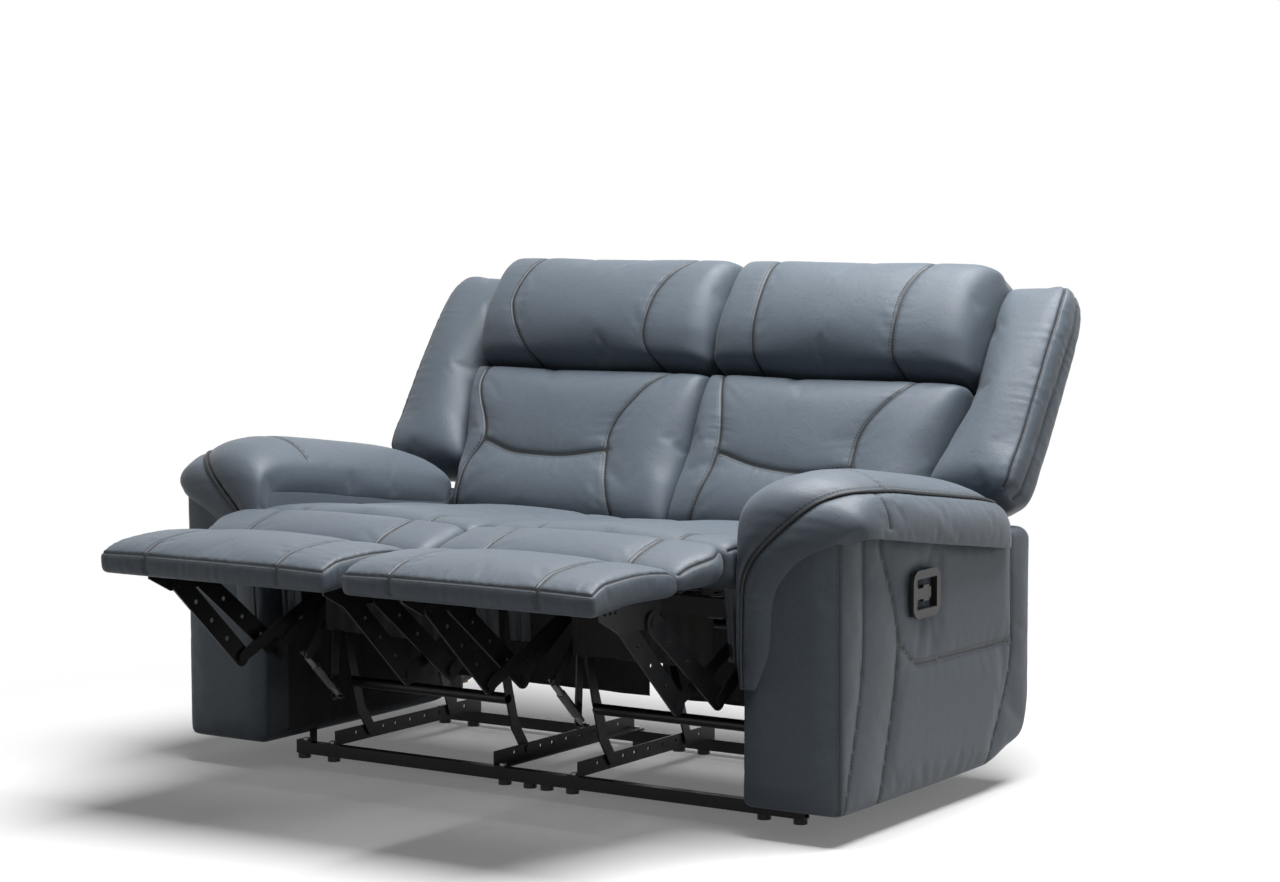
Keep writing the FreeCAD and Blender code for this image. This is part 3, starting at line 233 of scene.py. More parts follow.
def puff(piece, held, pressure, slack, cap, frames=20):
    """Fills a cover with a cloth simulation, holding the seams, and returns it capped."""
    scene = bpy.context.scene
    start = read_points(piece)
    group = piece.vertex_groups.new(name="held")
    for level in (0.25, 0.5, 0.75, 1.0):
        at = np.nonzero((held > level - 0.25) & (held <= level))[0]
        if len(at):
            group.add(at.tolist(), level, "REPLACE")
    cloth = piece.modifiers.new("filling", "CLOTH")
    how = cloth.settings
    how.quality = 5
    how.mass = 0.25
    how.air_damping = 2.0
    how.tension_stiffness = 12
    how.compression_stiffness = 12
    how.shear_stiffness = 6
    how.bending_stiffness = 0.6
    how.use_pressure = True
    how.uniform_pressure_force = pressure
    how.vertex_group_mass = group.name
    how.pin_stiffness = 1.0
    how.shrink_min = -slack
    how.effector_weights.gravity = 0
    cloth.collision_settings.use_collision = False
    cloth.point_cache.frame_start = 1
    cloth.point_cache.frame_end = frames
    for moment in range(1, frames + 1):
        scene.frame_set(moment)
    seen = piece.evaluated_get(bpy.context.evaluated_depsgraph_get())
    move = read_points(seen) - start
    piece.modifiers.remove(cloth)
    piece.vertex_groups.remove(group)
    scene.frame_set(1)
    far = np.linalg.norm(move, axis=1, keepdims=True)
    move *= np.minimum(1, cap / np.maximum(far, 1e-9))
    write_points(piece, start + np.nan_to_num(move))


class Pad:
    """A padded block lofted through rows, sewn along lines and edges, then filled.

    Each row is (low y, low z, top y, top z, inner x, outer x, crown). The shares a, b and c run
    from the inner to the outer side, from the first row to the last and from low to top.
    """

    def __init__(self, name, rows, cell, radius, lines=(), levels=(), low=None, top=None,
                 bulge=0.0, square=2.6, thick=None, profile=None):
        self.name = name
        rows = np.asarray(rows, float)
        run = np.concatenate([[0], np.cumsum(np.linalg.norm(np.diff(rows[:, 2:4], axis=0),
                                                            axis=1))])
        self.knots = run / run[-1]
        self.length = run[-1]
        self.width = (rows[:, 5] - rows[:, 4]).mean()
        deep = np.linalg.norm(rows[:, 2:4] - rows[:, 0:2], axis=1)
        self.depth = thick or np.median(deep)
        self.size = np.array([self.width, self.length, self.depth])
        counts = [max(3, int(round(s / cell))) for s in self.size]
        self.shares, self.quads, self.ids = box_grid(*counts)
        self.counts = counts
        lines = [(round(share * counts[0]) / counts[0], line) for share, line in lines]
        levels = [(round(share * counts[1]) / counts[1], level) for share, level in levels]
        a0, b0, c0 = self.shares.T
        a, b, c = rounded(self.shares, self.size, radius).T
        for share, level in levels:
            line = level(a)
            b = np.where(b <= share, b / share * line,
                         line + (b - share) / (1 - share) * (1 - line))
        if levels:
            share, level = levels[0]
            self.level_gap = b - level(a)
        row = monotone(self.knots, rows, b)
        knots = [0.0] + [share for share, line in lines] + [1.0]
        places = [row[:, 4]] + [line(b) for share, line in lines] + [row[:, 5]]
        x = np.empty(len(a))
        for n in range(len(knots) - 1):
            here = (a >= knots[n]) & (a <= knots[n + 1])
            t = (a[here] - knots[n]) / (knots[n + 1] - knots[n])
            x[here] = places[n][here] + t * (places[n + 1][here] - places[n][here])
        self.line_gaps = [x - line(b) for share, line in lines]
        up = row[:, 2:4] - row[:, 0:2]
        tall = np.linalg.norm(up, axis=1, keepdims=True)
        up = up / np.maximum(tall, 1e-6)
        lift = row[:, 6] * (1 - np.abs(2 * a - 1) ** square) * c ** 2
        if top is not None:
            lift = lift + top(a, b) * c
        if low is not None:
            lift = lift + low(a, b) * (1 - c)
        rise = tall[:, 0] * c + lift
        if profile is not None:
            share, drop, crown = profile(a, b)
            x = row[:, 4] + (row[:, 5] - row[:, 4]) * share
            rise = tall[:, 0] * c * (1 - drop) + crown * c
        x = x + bulge * (2 * a - 1) * np.sin(math.pi * c)
        self.points = np.column_stack([x, row[:, 0] + up[:, 0] * rise, row[:, 1] + up[:, 1] * rise])
        self.at = np.column_stack([a, b, c])
        self.gap = np.full(len(a), 1.0)
        self.run = np.zeros(len(a))
        self.thread = np.zeros(len(a))
        self.held = np.where(c0 == 0, 1.0, 0.0)
        self.seams = 0

    def near(self, gap, run, thread, hold):
        """Takes a seam into account: its distance, the run along it and its stitching."""
        gap = np.abs(gap)
        closer = gap < self.gap
        self.gap = np.where(closer, gap, self.gap)
        self.run = np.where(closer, run + 0.37 * self.seams, self.run)
        self.thread = np.where(closer, thread, self.thread)
        self.seams += 1
        if hold:
            self.held = np.maximum(self.held, np.where(gap < 0.0045, hold, 0))

    def pull(self, gap, axis, grid):
        """Moves the nearest points along an axis onto a seam and returns the new distances."""
        close = np.abs(gap) <= grid * 0.51
        self.points[:, axis] -= np.where(close, gap, 0)
        return np.where(close, 0, gap)

    def sew_line(self, number, thread=1.0, hold=1.0):
        """A seam along the rows, on the numbered line."""
        a, b, c = self.shares.T
        run = b * self.length + (1 - c) * self.depth
        gap = self.line_gaps[number] + np.where((c == 0), 1.0, 0)
        self.near(gap, run, thread, hold)

    def sew_level(self, first, last, thread=1.0, hold=1.0):
        """A seam across the rows, on the level, between two shares of the width."""
        a, b, c = self.shares.T
        aside = (np.clip(first - a, 0, 1) + np.clip(a - last, 0, 1)) * self.width
        gap = np.hypot(self.level_gap * self.length, aside) + np.where(c < 1, 1.0, 0)
        self.near(gap, a * self.width, thread, hold)

    def sew_edge(self, axes, ends, thread=1.0, hold=1.0):
        """A seam along the block's edge where the two given shares have the given ends."""
        gap = np.hypot(*[(self.shares[:, k] - e) * self.size[k] for k, e in zip(axes, ends)])
        free = [k for k in range(3) if k not in axes][0]
        self.near(gap, self.shares[:, free] * self.size[free], thread, hold)

    def build(self, side, fill=1.0, cap=0.02, groove=1.0, gather=1.0, reach=0.03, dense=1,
              floor_hold=1.0):
        """Makes the object for one side, fills it, subdivides it and works its seams."""
        padding = bpy.context.scene.sofa_padding
        points = self.points * (side, 1, 1)
        piece = new_object(self.name, points, self.quads)
        face_outwards(piece)
        put_values(piece, "seam", self.gap)
        put_values(piece, "run", self.run)
        put_values(piece, "thread", self.thread)
        if fill:
            puff(piece, self.held, padding.pressure * fill, padding.slack, cap)
        if dense:
            apply_modifier(piece, "SUBSURF", levels=dense, render_levels=dense)
        gap = get_values(piece, "seam")
        run = get_values(piece, "run")
        depth = padding.groove * groove * (np.exp(-(gap / 0.0050) ** 2)
                                           + 0.40 * np.exp(-(gap / 0.020) ** 2))
        ripple = padding.gather * gather * np.exp(-(gap / reach) ** 2) * np.clip(gap / 0.006, 0, 1)
        ripple = ripple * waves(run, 0.026, 0.7 * side) * (0.6 + 0.4 * waves(run, 0.17, 1.1))
        write_points(piece, read_points(piece) + read_normals(piece) * (ripple - depth)[:, None])
        piece.data.shade_smooth()
        return piece


def back_row(up, low, top, x0, x1, crown):
    """One row of a pad on the back, from its height up the lean and its reach forward."""
    s, c = math.sin(BACK_LEAN), math.cos(BACK_LEAN)
    return [BACK_FOOT[0] + up * s - low * c, BACK_FOOT[1] + up * c + low * s,
            BACK_FOOT[0] + up * s - top * c, BACK_FOOT[1] + up * c + top * s, x0, x1, crown]


def flare(up):
    """X of the joint between the cushions and the wing."""
    return 0.560 + 0.042 * min(1.0, (up - 0.108) / 0.244)


def through(points):
    """A smooth line of values through (share, value) pairs."""
    knots = [p[0] for p in points]
    rows = [[p[1]] for p in points]
    return lambda at: monotone(knots, rows, at)[:, 0]


def straight(x):
    """A seam that runs at one x."""
    return lambda share: x + 0 * share


def settle(piece, body, nodes, leather):
    """Names what a padded piece rides on, replaces and is made of."""
    piece.data.materials.append(leather)
    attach(piece, body)
    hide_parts(*nodes)


def pipe(name, points, radius, body, leather, smooth=2):
    """A piping cord along points, finished as leather and part of a padded piece."""
    points = np.asarray(points, float)
    for _ in range(smooth):
        points[1:-1] = (points[:-2] + 2 * points[1:-1] + points[2:]) / 4
    curve = bpy.data.curves.new(name, "CURVE")
    curve.dimensions = "3D"
    curve.bevel_depth = radius
    curve.bevel_resolution = 2
    curve.use_fill_caps = True
    spline = curve.splines.new("NURBS")
    spline.points.add(len(points) - 1)
    for p, target in zip(points, spline.points):
        target.co = (*p, 1)
    spline.order_u = 3
    spline.use_endpoint_u = True
    spline.resolution_u = 2
    line = bpy.data.objects.new(name + "_line", curve)
    bpy.context.scene.collection.objects.link(line)
    seen = line.evaluated_get(bpy.context.evaluated_depsgraph_get())
    mesh = bpy.data.meshes.new_from_object(seen)
    bpy.data.objects.remove(line)
    bpy.data.curves.remove(curve)
    piece = bpy.data.objects.new(name, mesh)
    bpy.context.scene.collection.objects.link(piece)
    mesh.materials.clear()
    mesh.materials.append(leather)
    mesh.shade_smooth()
    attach(piece, body)
    return piece


def add_node(tree, kind, wires=None, **settings):
    """Adds a node, sets it up and feeds its inputs from sockets or values."""
    node = tree.nodes.new(kind)
    for key, value in settings.items():
        setattr(node, key, value)
    for key, value in (wires or {}).items():
        if isinstance(value, bpy.types.NodeSocket):
            tree.links.new(value, node.inputs[key])
        else:
            node.inputs[key].default_value = value
    return node


def formula(tree, operation, *values, clamp=False):
    node = add_node(tree, "ShaderNodeMath", dict(enumerate(values)), operation=operation,
                    use_clamp=clamp)
    return node.outputs[0]


def ramp(tree, value, low, high, start=0.0, end=1.0):
    node = add_node(tree, "ShaderNodeMapRange", {0: value, 1: low, 2: high, 3: start, 4: end},
                    interpolation_type="SMOOTHSTEP")
    return node.outputs[0]


def noise(tree, place, scale, detail=3.0, rough=0.5, warp=0.0):
    node = add_node(tree, "ShaderNodeTexNoise", {"Vector": place, "Scale": scale, "Detail": detail,
                                                 "Roughness": rough, "Distortion": warp})
    return node.outputs["Fac"]


def shade(tree, colour, factor):
    """A colour made darker or lighter by a factor."""
    node = add_node(tree, "ShaderNodeVectorMath", {0: colour, "Scale": factor}, operation="SCALE")
    return node.outputs[0]


def group(name, inputs, outputs):
    tree = bpy.data.node_groups.new(name, "ShaderNodeTree")
    for kind, sockets in (("INPUT", inputs), ("OUTPUT", outputs)):
        for label, value in sockets:
            socket = tree.interface.new_socket(label, in_out=kind, socket_type="NodeSocketFloat"
                                               if not isinstance(value, tuple)
                                               else "NodeSocketColor")
            socket.default_value = value
    enter = tree.nodes.new("NodeGroupInput")
    leave = tree.nodes.new("NodeGroupOutput")
    return tree, enter.outputs, leave.inputs


def hide_group():
    """Grain, creases, colour variation and stitching of leather, with painted shade that darkens the
    seam grooves and the valleys beside them.
    """
    tree, give, take = group("hide", [("Tint", (1, 1, 1, 1)), ("Thread", (1, 1, 1, 1)),
                                      ("Stitch", 0.006)],
                             [("Color", (1, 1, 1, 1)), ("Roughness", 0.5), ("Height", 0.0)])
    place = tree.nodes.new("ShaderNodeTexCoord").outputs["Object"]
    seam, run, thread = [add_node(tree, "ShaderNodeAttribute", attribute_name=n).outputs["Fac"]
                         for n in ("seam", "run", "thread")]
    pebble = add_node(tree, "ShaderNodeTexVoronoi", {"Vector": place, "Scale": 520.0},
                      feature="SMOOTH_F1").outputs["Distance"]
    fine = noise(tree, place, 900.0, 2.0)
    folds = noise(tree, place, 34.0, 4.0, 0.55, 0.8)
    broad = noise(tree, place, 5.0, 3.0)
    blotch = noise(tree, place, 60.0, 4.0, 0.6)
    crease = ramp(tree, folds, 0.47, 0.5)
    vein = formula(tree, "MULTIPLY", crease, ramp(tree, folds, 0.53, 0.5))
    # Seam grooves: painted shade darkens the colour in the groove and in a wider valley beside it; the
    # groove mask also sinks the bump.
    groove_and_painted_shade = ramp(tree, seam, 0.0042, 0.0012)
    painted_valley_shade = ramp(tree, seam, 0.016, 0.0)
    away = formula(tree, "ABSOLUTE", formula(tree, "SUBTRACT", seam, 0.0062))
    row = ramp(tree, away, 0.0013, 0.0006)
    beat = formula(tree, "FRACT", formula(tree, "DIVIDE", run, give["Stitch"]))
    dash = formula(tree, "MULTIPLY", ramp(tree, beat, 0.06, 0.16), ramp(tree, beat, 0.80, 0.68))
    stitch = formula(tree, "MULTIPLY", formula(tree, "MULTIPLY", row, dash), thread)
    tone = formula(tree, "MULTIPLY_ADD", broad, 0.14, 0.86)
    tone = formula(tree, "MULTIPLY_ADD", blotch, 0.12, tone)
    tone = formula(tree, "MULTIPLY_ADD", pebble, -0.12, tone)
    tone = formula(tree, "MULTIPLY_ADD", vein, -0.07, tone)
    # Painted shade: the seam groove and its valley are darkened in colour.
    tone = formula(tree, "MULTIPLY_ADD", groove_and_painted_shade, -0.62, tone)
    tone = formula(tree, "MULTIPLY_ADD", painted_valley_shade, -0.24, tone)
    tinted = shade(tree, give["Tint"], tone)
    mixed = add_node(tree, "ShaderNodeMix", {0: stitch, 6: tinted, 7: give["Thread"]},
                     data_type="RGBA")
    tree.links.new(mixed.outputs[2], take["Color"])
    dull = formula(tree, "MULTIPLY_ADD", pebble, 0.12, 0.38)
    dull = formula(tree, "MULTIPLY_ADD", blotch, 0.14, dull)
    dull = formula(tree, "MULTIPLY_ADD", stitch, 0.2, dull)
    tree.links.new(dull, take["Roughness"])
    high = formula(tree, "MULTIPLY", pebble, -0.00011)
    high = formula(tree, "MULTIPLY_ADD", fine, 0.00006, high)
    high = formula(tree, "MULTIPLY_ADD", folds, 0.0005, high)
    high = formula(tree, "MULTIPLY_ADD", vein, -0.0001, high)
    high = formula(tree, "MULTIPLY_ADD", groove_and_painted_shade, -0.0006, high)
    high = formula(tree, "MULTIPLY_ADD", stitch, 0.0007, high)
    tree.links.new(high, take["Height"])
    return tree


def wear_group():
    """A mask of worn edges and a mask of dust and smears."""
    tree, give, take = group("wear", [("Edge", 0.002), ("Scale", 60.0)],
                             [("Worn", 0.0), ("Smear", 0.0), ("Height", 0.0)])
    place = tree.nodes.new("ShaderNodeTexCoord").outputs["Object"]
    soft = add_node(tree, "ShaderNodeBevel", {"Radius": give["Edge"]}, samples=4).outputs[0]
    flat = tree.nodes.new("ShaderNodeNewGeometry").outputs["Normal"]
    same = add_node(tree, "ShaderNodeVectorMath", {0: soft, 1: flat},
                    operation="DOT_PRODUCT").outputs["Value"]
    patch = noise(tree, place, give["Scale"], 4.0, 0.6)
    edge = ramp(tree, same, 0.995, 0.86)
    tree.links.new(formula(tree, "MULTIPLY", edge, ramp(tree, patch, 0.38, 0.62)), take["Worn"])
    tree.links.new(noise(tree, place, 22.0, 5.0, 0.65, 0.6), take["Smear"])
    tree.links.new(formula(tree, "MULTIPLY", noise(tree, place, 480.0, 2.0), 0.00012),
                   take["Height"])
    return tree


def new_material(name):
    material = bpy.data.materials.new(name)
    material.use_nodes = True
    tree = material.node_tree
    return material, tree, tree.nodes["Principled BSDF"]


def place_group(tree, name, make, values):
    """Puts the shared group into a material, building it once."""
    node = tree.nodes.new("ShaderNodeGroup")
    node.node_tree = bpy.data.node_groups.get(name) or make()
    for key, value in values.items():
        node.inputs[key].default_value = value
    return node.outputs


def raise_surface(tree, surface, height, strength=1.0):
    bump = add_node(tree, "ShaderNodeBump", {"Height": height, "Strength": strength,
                                             "Distance": 1.0})
    tree.links.new(bump.outputs[0], surface.inputs["Normal"])


def leather_material(name="blue grey leather", tone=1.0):
    """Blue-grey leather, once for each tone; a tone below 1 gives a darker copy, which is painted
    shade.
    """
    if name in bpy.data.materials:
        return bpy.data.materials[name]
    looks = bpy.context.scene.sofa_leather
    material, tree, surface = new_material(name)
    hide = place_group(tree, "hide", hide_group,
                       {"Tint": (*[tone * v for v in looks.hide], 1),
                        "Thread": (*[tone * v for v in looks.thread], 1),
                        "Stitch": looks.stitch})
    tree.links.new(hide["Color"], surface.inputs["Base Color"])
    tree.links.new(hide["Roughness"], surface.inputs["Roughness"])
    surface.inputs["Specular IOR Level"].default_value = 0.36
    surface.inputs["Sheen Weight"].default_value = 0.06
    surface.inputs["Sheen Roughness"].default_value = 0.5
    raise_surface(tree, surface, hide["Height"])
    return material


def metal_material(name, colour, bare, rough, metallic, edge=0.0015):
    """Painted or plated steel with bright worn edges, smears and a fine uneven skin."""
    material, tree, surface = new_material(name)
    wear = place_group(tree, "wear", wear_group, {"Edge": edge, "Scale": 90.0})
    mixed = add_node(tree, "ShaderNodeMix", {0: formula(tree, "MULTIPLY", wear["Worn"], 0.5),
                                             6: (*colour, 1), 7: (*bare, 1)}, data_type="RGBA")
    tone = formula(tree, "MULTIPLY_ADD", wear["Smear"], 0.8, 0.62)
    tree.links.new(shade(tree, mixed.outputs[2], tone), surface.inputs["Base Color"])
    dull = formula(tree, "MULTIPLY_ADD", wear["Smear"], 0.28, rough - 0.12)
    tree.links.new(formula(tree, "MULTIPLY_ADD", wear["Worn"], 0.1, dull),
                   surface.inputs["Roughness"])
    surface.inputs["Metallic"].default_value = metallic
    raise_surface(tree, surface, wear["Height"])
    return material


def wood_material():
    """Pale plywood with long grain, darker rings and cut edges."""
    material, tree, surface = new_material("plywood")
    place = tree.nodes.new("ShaderNodeTexCoord").outputs["Object"]
    stretched = add_node(tree, "ShaderNodeMapping", {"Vector": place, "Scale": (2.0, 26.0, 26.0)})
    grain = noise(tree, stretched.outputs[0], 6.0, 6.0, 0.62, 0.5)
    pores = noise(tree, stretched.outputs[0], 60.0, 3.0)
    wear = place_group(tree, "wear", wear_group, {"Edge": 0.002, "Scale": 70.0})
    tone = formula(tree, "MULTIPLY_ADD", grain, 0.7, 0.55)
    tone = formula(tree, "MULTIPLY_ADD", pores, 0.16, tone)
    tone = formula(tree, "MULTIPLY_ADD", wear["Worn"], 0.15, tone)
    tree.links.new(shade(tree, (0.36, 0.25, 0.145), tone), surface.inputs["Base Color"])
    tree.links.new(formula(tree, "MULTIPLY_ADD", pores, 0.2, 0.55), surface.inputs["Roughness"])
    raise_surface(tree, surface, formula(tree, "MULTIPLY", pores, 0.0004))
    return material


def cloth_material(name, colour):
    """Dark woven lining with a fine crossed weave and uneven dye."""
    material, tree, surface = new_material(name)
    place = tree.nodes.new("ShaderNodeTexCoord").outputs["Object"]
    split = add_node(tree, "ShaderNodeSeparateXYZ", {0: place}).outputs
    tall = formula(tree, "ADD", split[2], formula(tree, "MULTIPLY", split[1], 0.6))
    warp = formula(tree, "SINE", formula(tree, "MULTIPLY", split[0], 5200.0))
    weft = formula(tree, "SINE", formula(tree, "MULTIPLY", tall, 5200.0))
    weave = formula(tree, "MULTIPLY", warp, weft)
    dye = noise(tree, place, 40.0, 4.0, 0.6)
    tone = formula(tree, "MULTIPLY_ADD", weave, 0.18, formula(tree, "MULTIPLY_ADD", dye, 0.7, 0.6))
    tree.links.new(shade(tree, colour, tone), surface.inputs["Base Color"])
    tree.links.new(formula(tree, "MULTIPLY_ADD", dye, 0.2, 0.75), surface.inputs["Roughness"])
    surface.inputs["Sheen Weight"].default_value = 0.15
    raise_surface(tree, surface, formula(tree, "MULTIPLY", weave, 0.00018))
    return material


def plastic_material():
    """Satin brown-black moulded plastic, lightly textured and rubbed at its edges."""
    material, tree, surface = new_material("satin plastic")
    wear = place_group(tree, "wear", wear_group, {"Edge": 0.0015, "Scale": 120.0})
    mixed = add_node(tree, "ShaderNodeMix", {0: wear["Worn"], 6: (0.022, 0.019, 0.018, 1),
                                             7: (0.06, 0.056, 0.054, 1)}, data_type="RGBA")
    tone = formula(tree, "MULTIPLY_ADD", wear["Smear"], 0.5, 0.75)
    tree.links.new(shade(tree, mixed.outputs[2], tone), surface.inputs["Base Color"])
    tree.links.new(formula(tree, "MULTIPLY_ADD", wear["Smear"], 0.2, 0.26),
                   surface.inputs["Roughness"])
    raise_surface(tree, surface, wear["Height"])
    return material


def finish_nodes(material, *names):
    """Gives CAD nodes a material."""
    for name in names:
        for slot in frame["nodes"][name].material_slots:
            slot.material = material


def on_both(make):
    for label, side in (("left", -1), ("right", 1)):
        make(label, side)


SEAT_ROWS = [
    (0.268, 0.440, 0.266, 0.472, 0.008, 0.550, 0.006),
    (0.240, 0.426, 0.240, 0.486, 0.004, 0.554, 0.008),
    (0.120, 0.424, 0.120, 0.494, 0.003, 0.555, 0.010),
    (-0.060, 0.424, -0.060, 0.506, 0.003, 0.555, 0.012),
    (-0.200, 0.430, -0.200, 0.520, 0.003, 0.555, 0.012),
    (-0.280, 0.452, -0.282, 0.530, 0.004, 0.556, 0.010),
    (-0.318, 0.470, -0.326, 0.526, 0.010, 0.552, 0.006)]
KNEE_ROWS = [
    (-0.330, 0.480, -0.334, 0.528, 0.008, 0.546, 0.006),
    (-0.352, 0.468, -0.356, 0.532, 0.003, 0.558, 0.010),
    (-0.400, 0.466, -0.400, 0.524, 0.003, 0.575, 0.010),
    (-0.445, 0.462, -0.448, 0.512, 0.004, 0.558, 0.008),
    (-0.485, 0.464, -0.487, 0.496, 0.014, 0.550, 0.004)]
FOOT_ROWS = [
    (-0.489, 0.462, -0.491, 0.488, 0.018, 0.553, 0.004),
    (-0.510, 0.456, -0.512, 0.504, 0.016, 0.550, 0.008),
    (-0.610, 0.458, -0.610, 0.512, 0.016, 0.550, 0.010),
    (-0.700, 0.452, -0.700, 0.508, 0.016, 0.550, 0.008),
    (-0.750, 0.448, -0.756, 0.490, 0.018, 0.553, 0.004)]
PAD_ROWS = [
    (0.352, 0.474, 0.358, 0.530, 0.566, 0.772, 0),
    (0.334, 0.474, 0.337, 0.552, 0.561, 0.780, 0),
    (0.280, 0.480, 0.280, 0.568, 0.559, 0.786, 0),
    (0.140, 0.498, 0.140, 0.587, 0.558, 0.792, 0),
    (0.000, 0.516, 0.000, 0.604, 0.558, 0.795, 0),
    (-0.140, 0.535, -0.140, 0.620, 0.557, 0.797, 0),
    (-0.216, 0.545, -0.226, 0.624, 0.556, 0.796, 0),
    (-0.252, 0.548, -0.276, 0.612, 0.555, 0.790, 0),
    (-0.266, 0.540, -0.300, 0.584, 0.553, 0.772, 0),
    (-0.270, 0.522, -0.307, 0.546, 0.552, 0.738, 0),
    (-0.270, 0.494, -0.308, 0.502, 0.552, 0.672, 0),
    (-0.270, 0.440, -0.306, 0.442, 0.552, 0.630, 0),
    (-0.270, 0.340, -0.304, 0.340, 0.552, 0.617, 0),
    (-0.270, 0.272, -0.299, 0.268, 0.556, 0.590, 0)]


class SOFA_OT_seat_cushions(bpy.types.Operator):
    """Sew and fill the two seat cushions"""
    bl_idname = "sofa.seat_cushions"
    bl_label = "Seat cushions"

    def execute(self, context):
        def make(label, side):
            pad = Pad(label + "_seat", SEAT_ROWS, context.scene.sofa_padding.cell, 0.026,
                      lines=[(0.22, straight(0.122)), (0.78, straight(0.438))],
                      bulge=0.0)
            pad.sew_line(0, thread=0.5)
            pad.sew_line(1, thread=1.0)
            pad.sew_edge((0, 2), (0, 1), thread=0.6, hold=0)
            pad.sew_edge((0, 2), (1, 1), thread=0.6, hold=0)
            piece = pad.build(side, cap=0.016, gather=1.3)
            settle(piece, label + "_seat", [label + "_seat_cushion"], leather_material())
        on_both(make)
        return {"FINISHED"}


class SOFA_OT_knee_pads(bpy.types.Operator):
    """Sew and fill the pads between the seats and the footrests"""
    bl_idname = "sofa.knee_pads"
    bl_label = "Knee pads"

    def execute(self, context):
        def make(label, side):
            pad = Pad(label + "_knee", KNEE_ROWS, context.scene.sofa_padding.cell, 0.024,
                      lines=[(0.22, straight(0.122)), (0.78, straight(0.438))])
            pad.sew_line(0, thread=0.5)
            pad.sew_line(1, thread=1.0)
            pad.sew_edge((0, 2), (1, 1), thread=0.8, hold=0)
            piece = pad.build(side, cap=0.014, gather=1.4)
            settle(piece, label + "_footrest", [label + "_knee_pad"], leather_material())
        on_both(make)
        return {"FINISHED"}


class SOFA_OT_footrest_pads(bpy.types.Operator):
    """Sew and fill the footrest pads with their gathered front borders"""
    bl_idname = "sofa.footrest_pads"
    bl_label = "Footrest pads"

    def execute(self, context):
        def make(label, side):
            pad = Pad(label + "_foot", FOOT_ROWS, context.scene.sofa_padding.cell * 0.8, 0.013,
                      lines=[(0.22, straight(0.126)), (0.78, straight(0.438))],
                      thick=0.045)
            pad.sew_line(0, thread=0.5)
            pad.sew_line(1, thread=1.0)
            pad.sew_edge((1, 2), (1, 1), thread=1.0, hold=1.0)
            pad.sew_edge((0, 2), (0, 1), thread=0.3, hold=1.0)
            pad.sew_edge((0, 2), (1, 1), thread=0.3, hold=1.0)
            piece = pad.build(side, cap=0.010, groove=0.7, gather=2.2, reach=0.04)
            settle(piece, label + "_footrest", [label + "_footrest_pad"], leather_material())
        on_both(make)
        return {"FINISHED"}


LUMBAR_SEAMS = {
    "right": (((-0.027, 0.060), (0.151, 0.091), (0.339, 0.040)),
              ((-0.027, 0.420), (0.172, 0.407), (0.342, 0.503)),
              ((0.0, 0.150), (0.36, 0.120), (0.65, 0.112), (1.0, 0.128))),
    "left": (((-0.027, 0.120), (0.118, 0.173), (0.167, 0.183), (0.276, 0.132), (0.344, 0.070)),
             ((-0.027, 0.530),
             (0.091, 0.524),
             (0.151, 0.500),
             (0.284, 0.557),
             (0.334, 0.561)),
             ((0.0, 0.140), (0.4, 0.120), (0.65, 0.122), (1.0, 0.151)))}
HEAD_SEAMS = {
    "right": (((0.353, 0.118), (0.44, 0.112), (0.60, 0.104)),
              ((0.353, 0.452), (0.396, 0.440), (0.478, 0.440), (0.585, 0.470))),
    "left": (((0.353, 0.128), (0.412, 0.157), (0.479, 0.152), (0.592, 0.093)),
             ((0.353, 0.440), (0.443, 0.502), (0.474, 0.513), (0.587, 0.490)))}


def back_lines(seams, low, high):
    """Seams given as (height up the lean, x), by share of the pad's height."""
    return [through([((up - low) / (high - low), x) for up, x in seam]) for seam in seams]


class SOFA_OT_lumbar_cushions(bpy.types.Operator):
    """Sew and fill the lower back cushions"""
    bl_idname = "sofa.lumbar_cushions"
    bl_label = "Lumbar cushions"

    def execute(self, context):
        ups = ((-0.022, 0.070, 0.118, 0.002),
               (0.010, 0.040, 0.132, 0.006),
               (0.070, 0.034, 0.142, 0.010),
               (0.118, 0.034, 0.142, 0.008),
               (0.170, 0.034, 0.144, 0.010),
               (0.240, 0.034, 0.150, 0.012),
               (0.300, 0.034, 0.148, 0.012),
               (0.336, 0.034, 0.136, 0.008),
               (0.351, 0.040, 0.116, 0.004))
        rows = [back_row(up, low, top, 0.003, flare(up) - 0.002, crown)
                for up, low, top, crown in ups]

        def make(label, side):
            inner, outer, level = LUMBAR_SEAMS[label]
            lines = back_lines((inner, outer), -0.022, 0.351)
            crescent = through([(x, (up + 0.022) / 0.373) for x, up in level])
            share = crescent(np.array([0.5]))[0]
            pad = Pad(label + "_lumbar", rows, context.scene.sofa_padding.cell, 0.034,
                      lines=[(0.2, lines[0]), (0.8, lines[1])],
                      levels=[(share, lambda a: crescent(np.clip((a - 0.2) / 0.6, 0, 1)))])
            pad.sew_line(0, thread=0.6)
            pad.sew_line(1, thread=1.0)
            pad.sew_level(0.2, 0.8, thread=0.9)
            piece = pad.build(side, cap=0.020, gather=1.5, reach=0.035)
            settle(piece, label + "_back", [label + "_back_cushion"], leather_material())
        on_both(make)
        return {"FINISHED"}


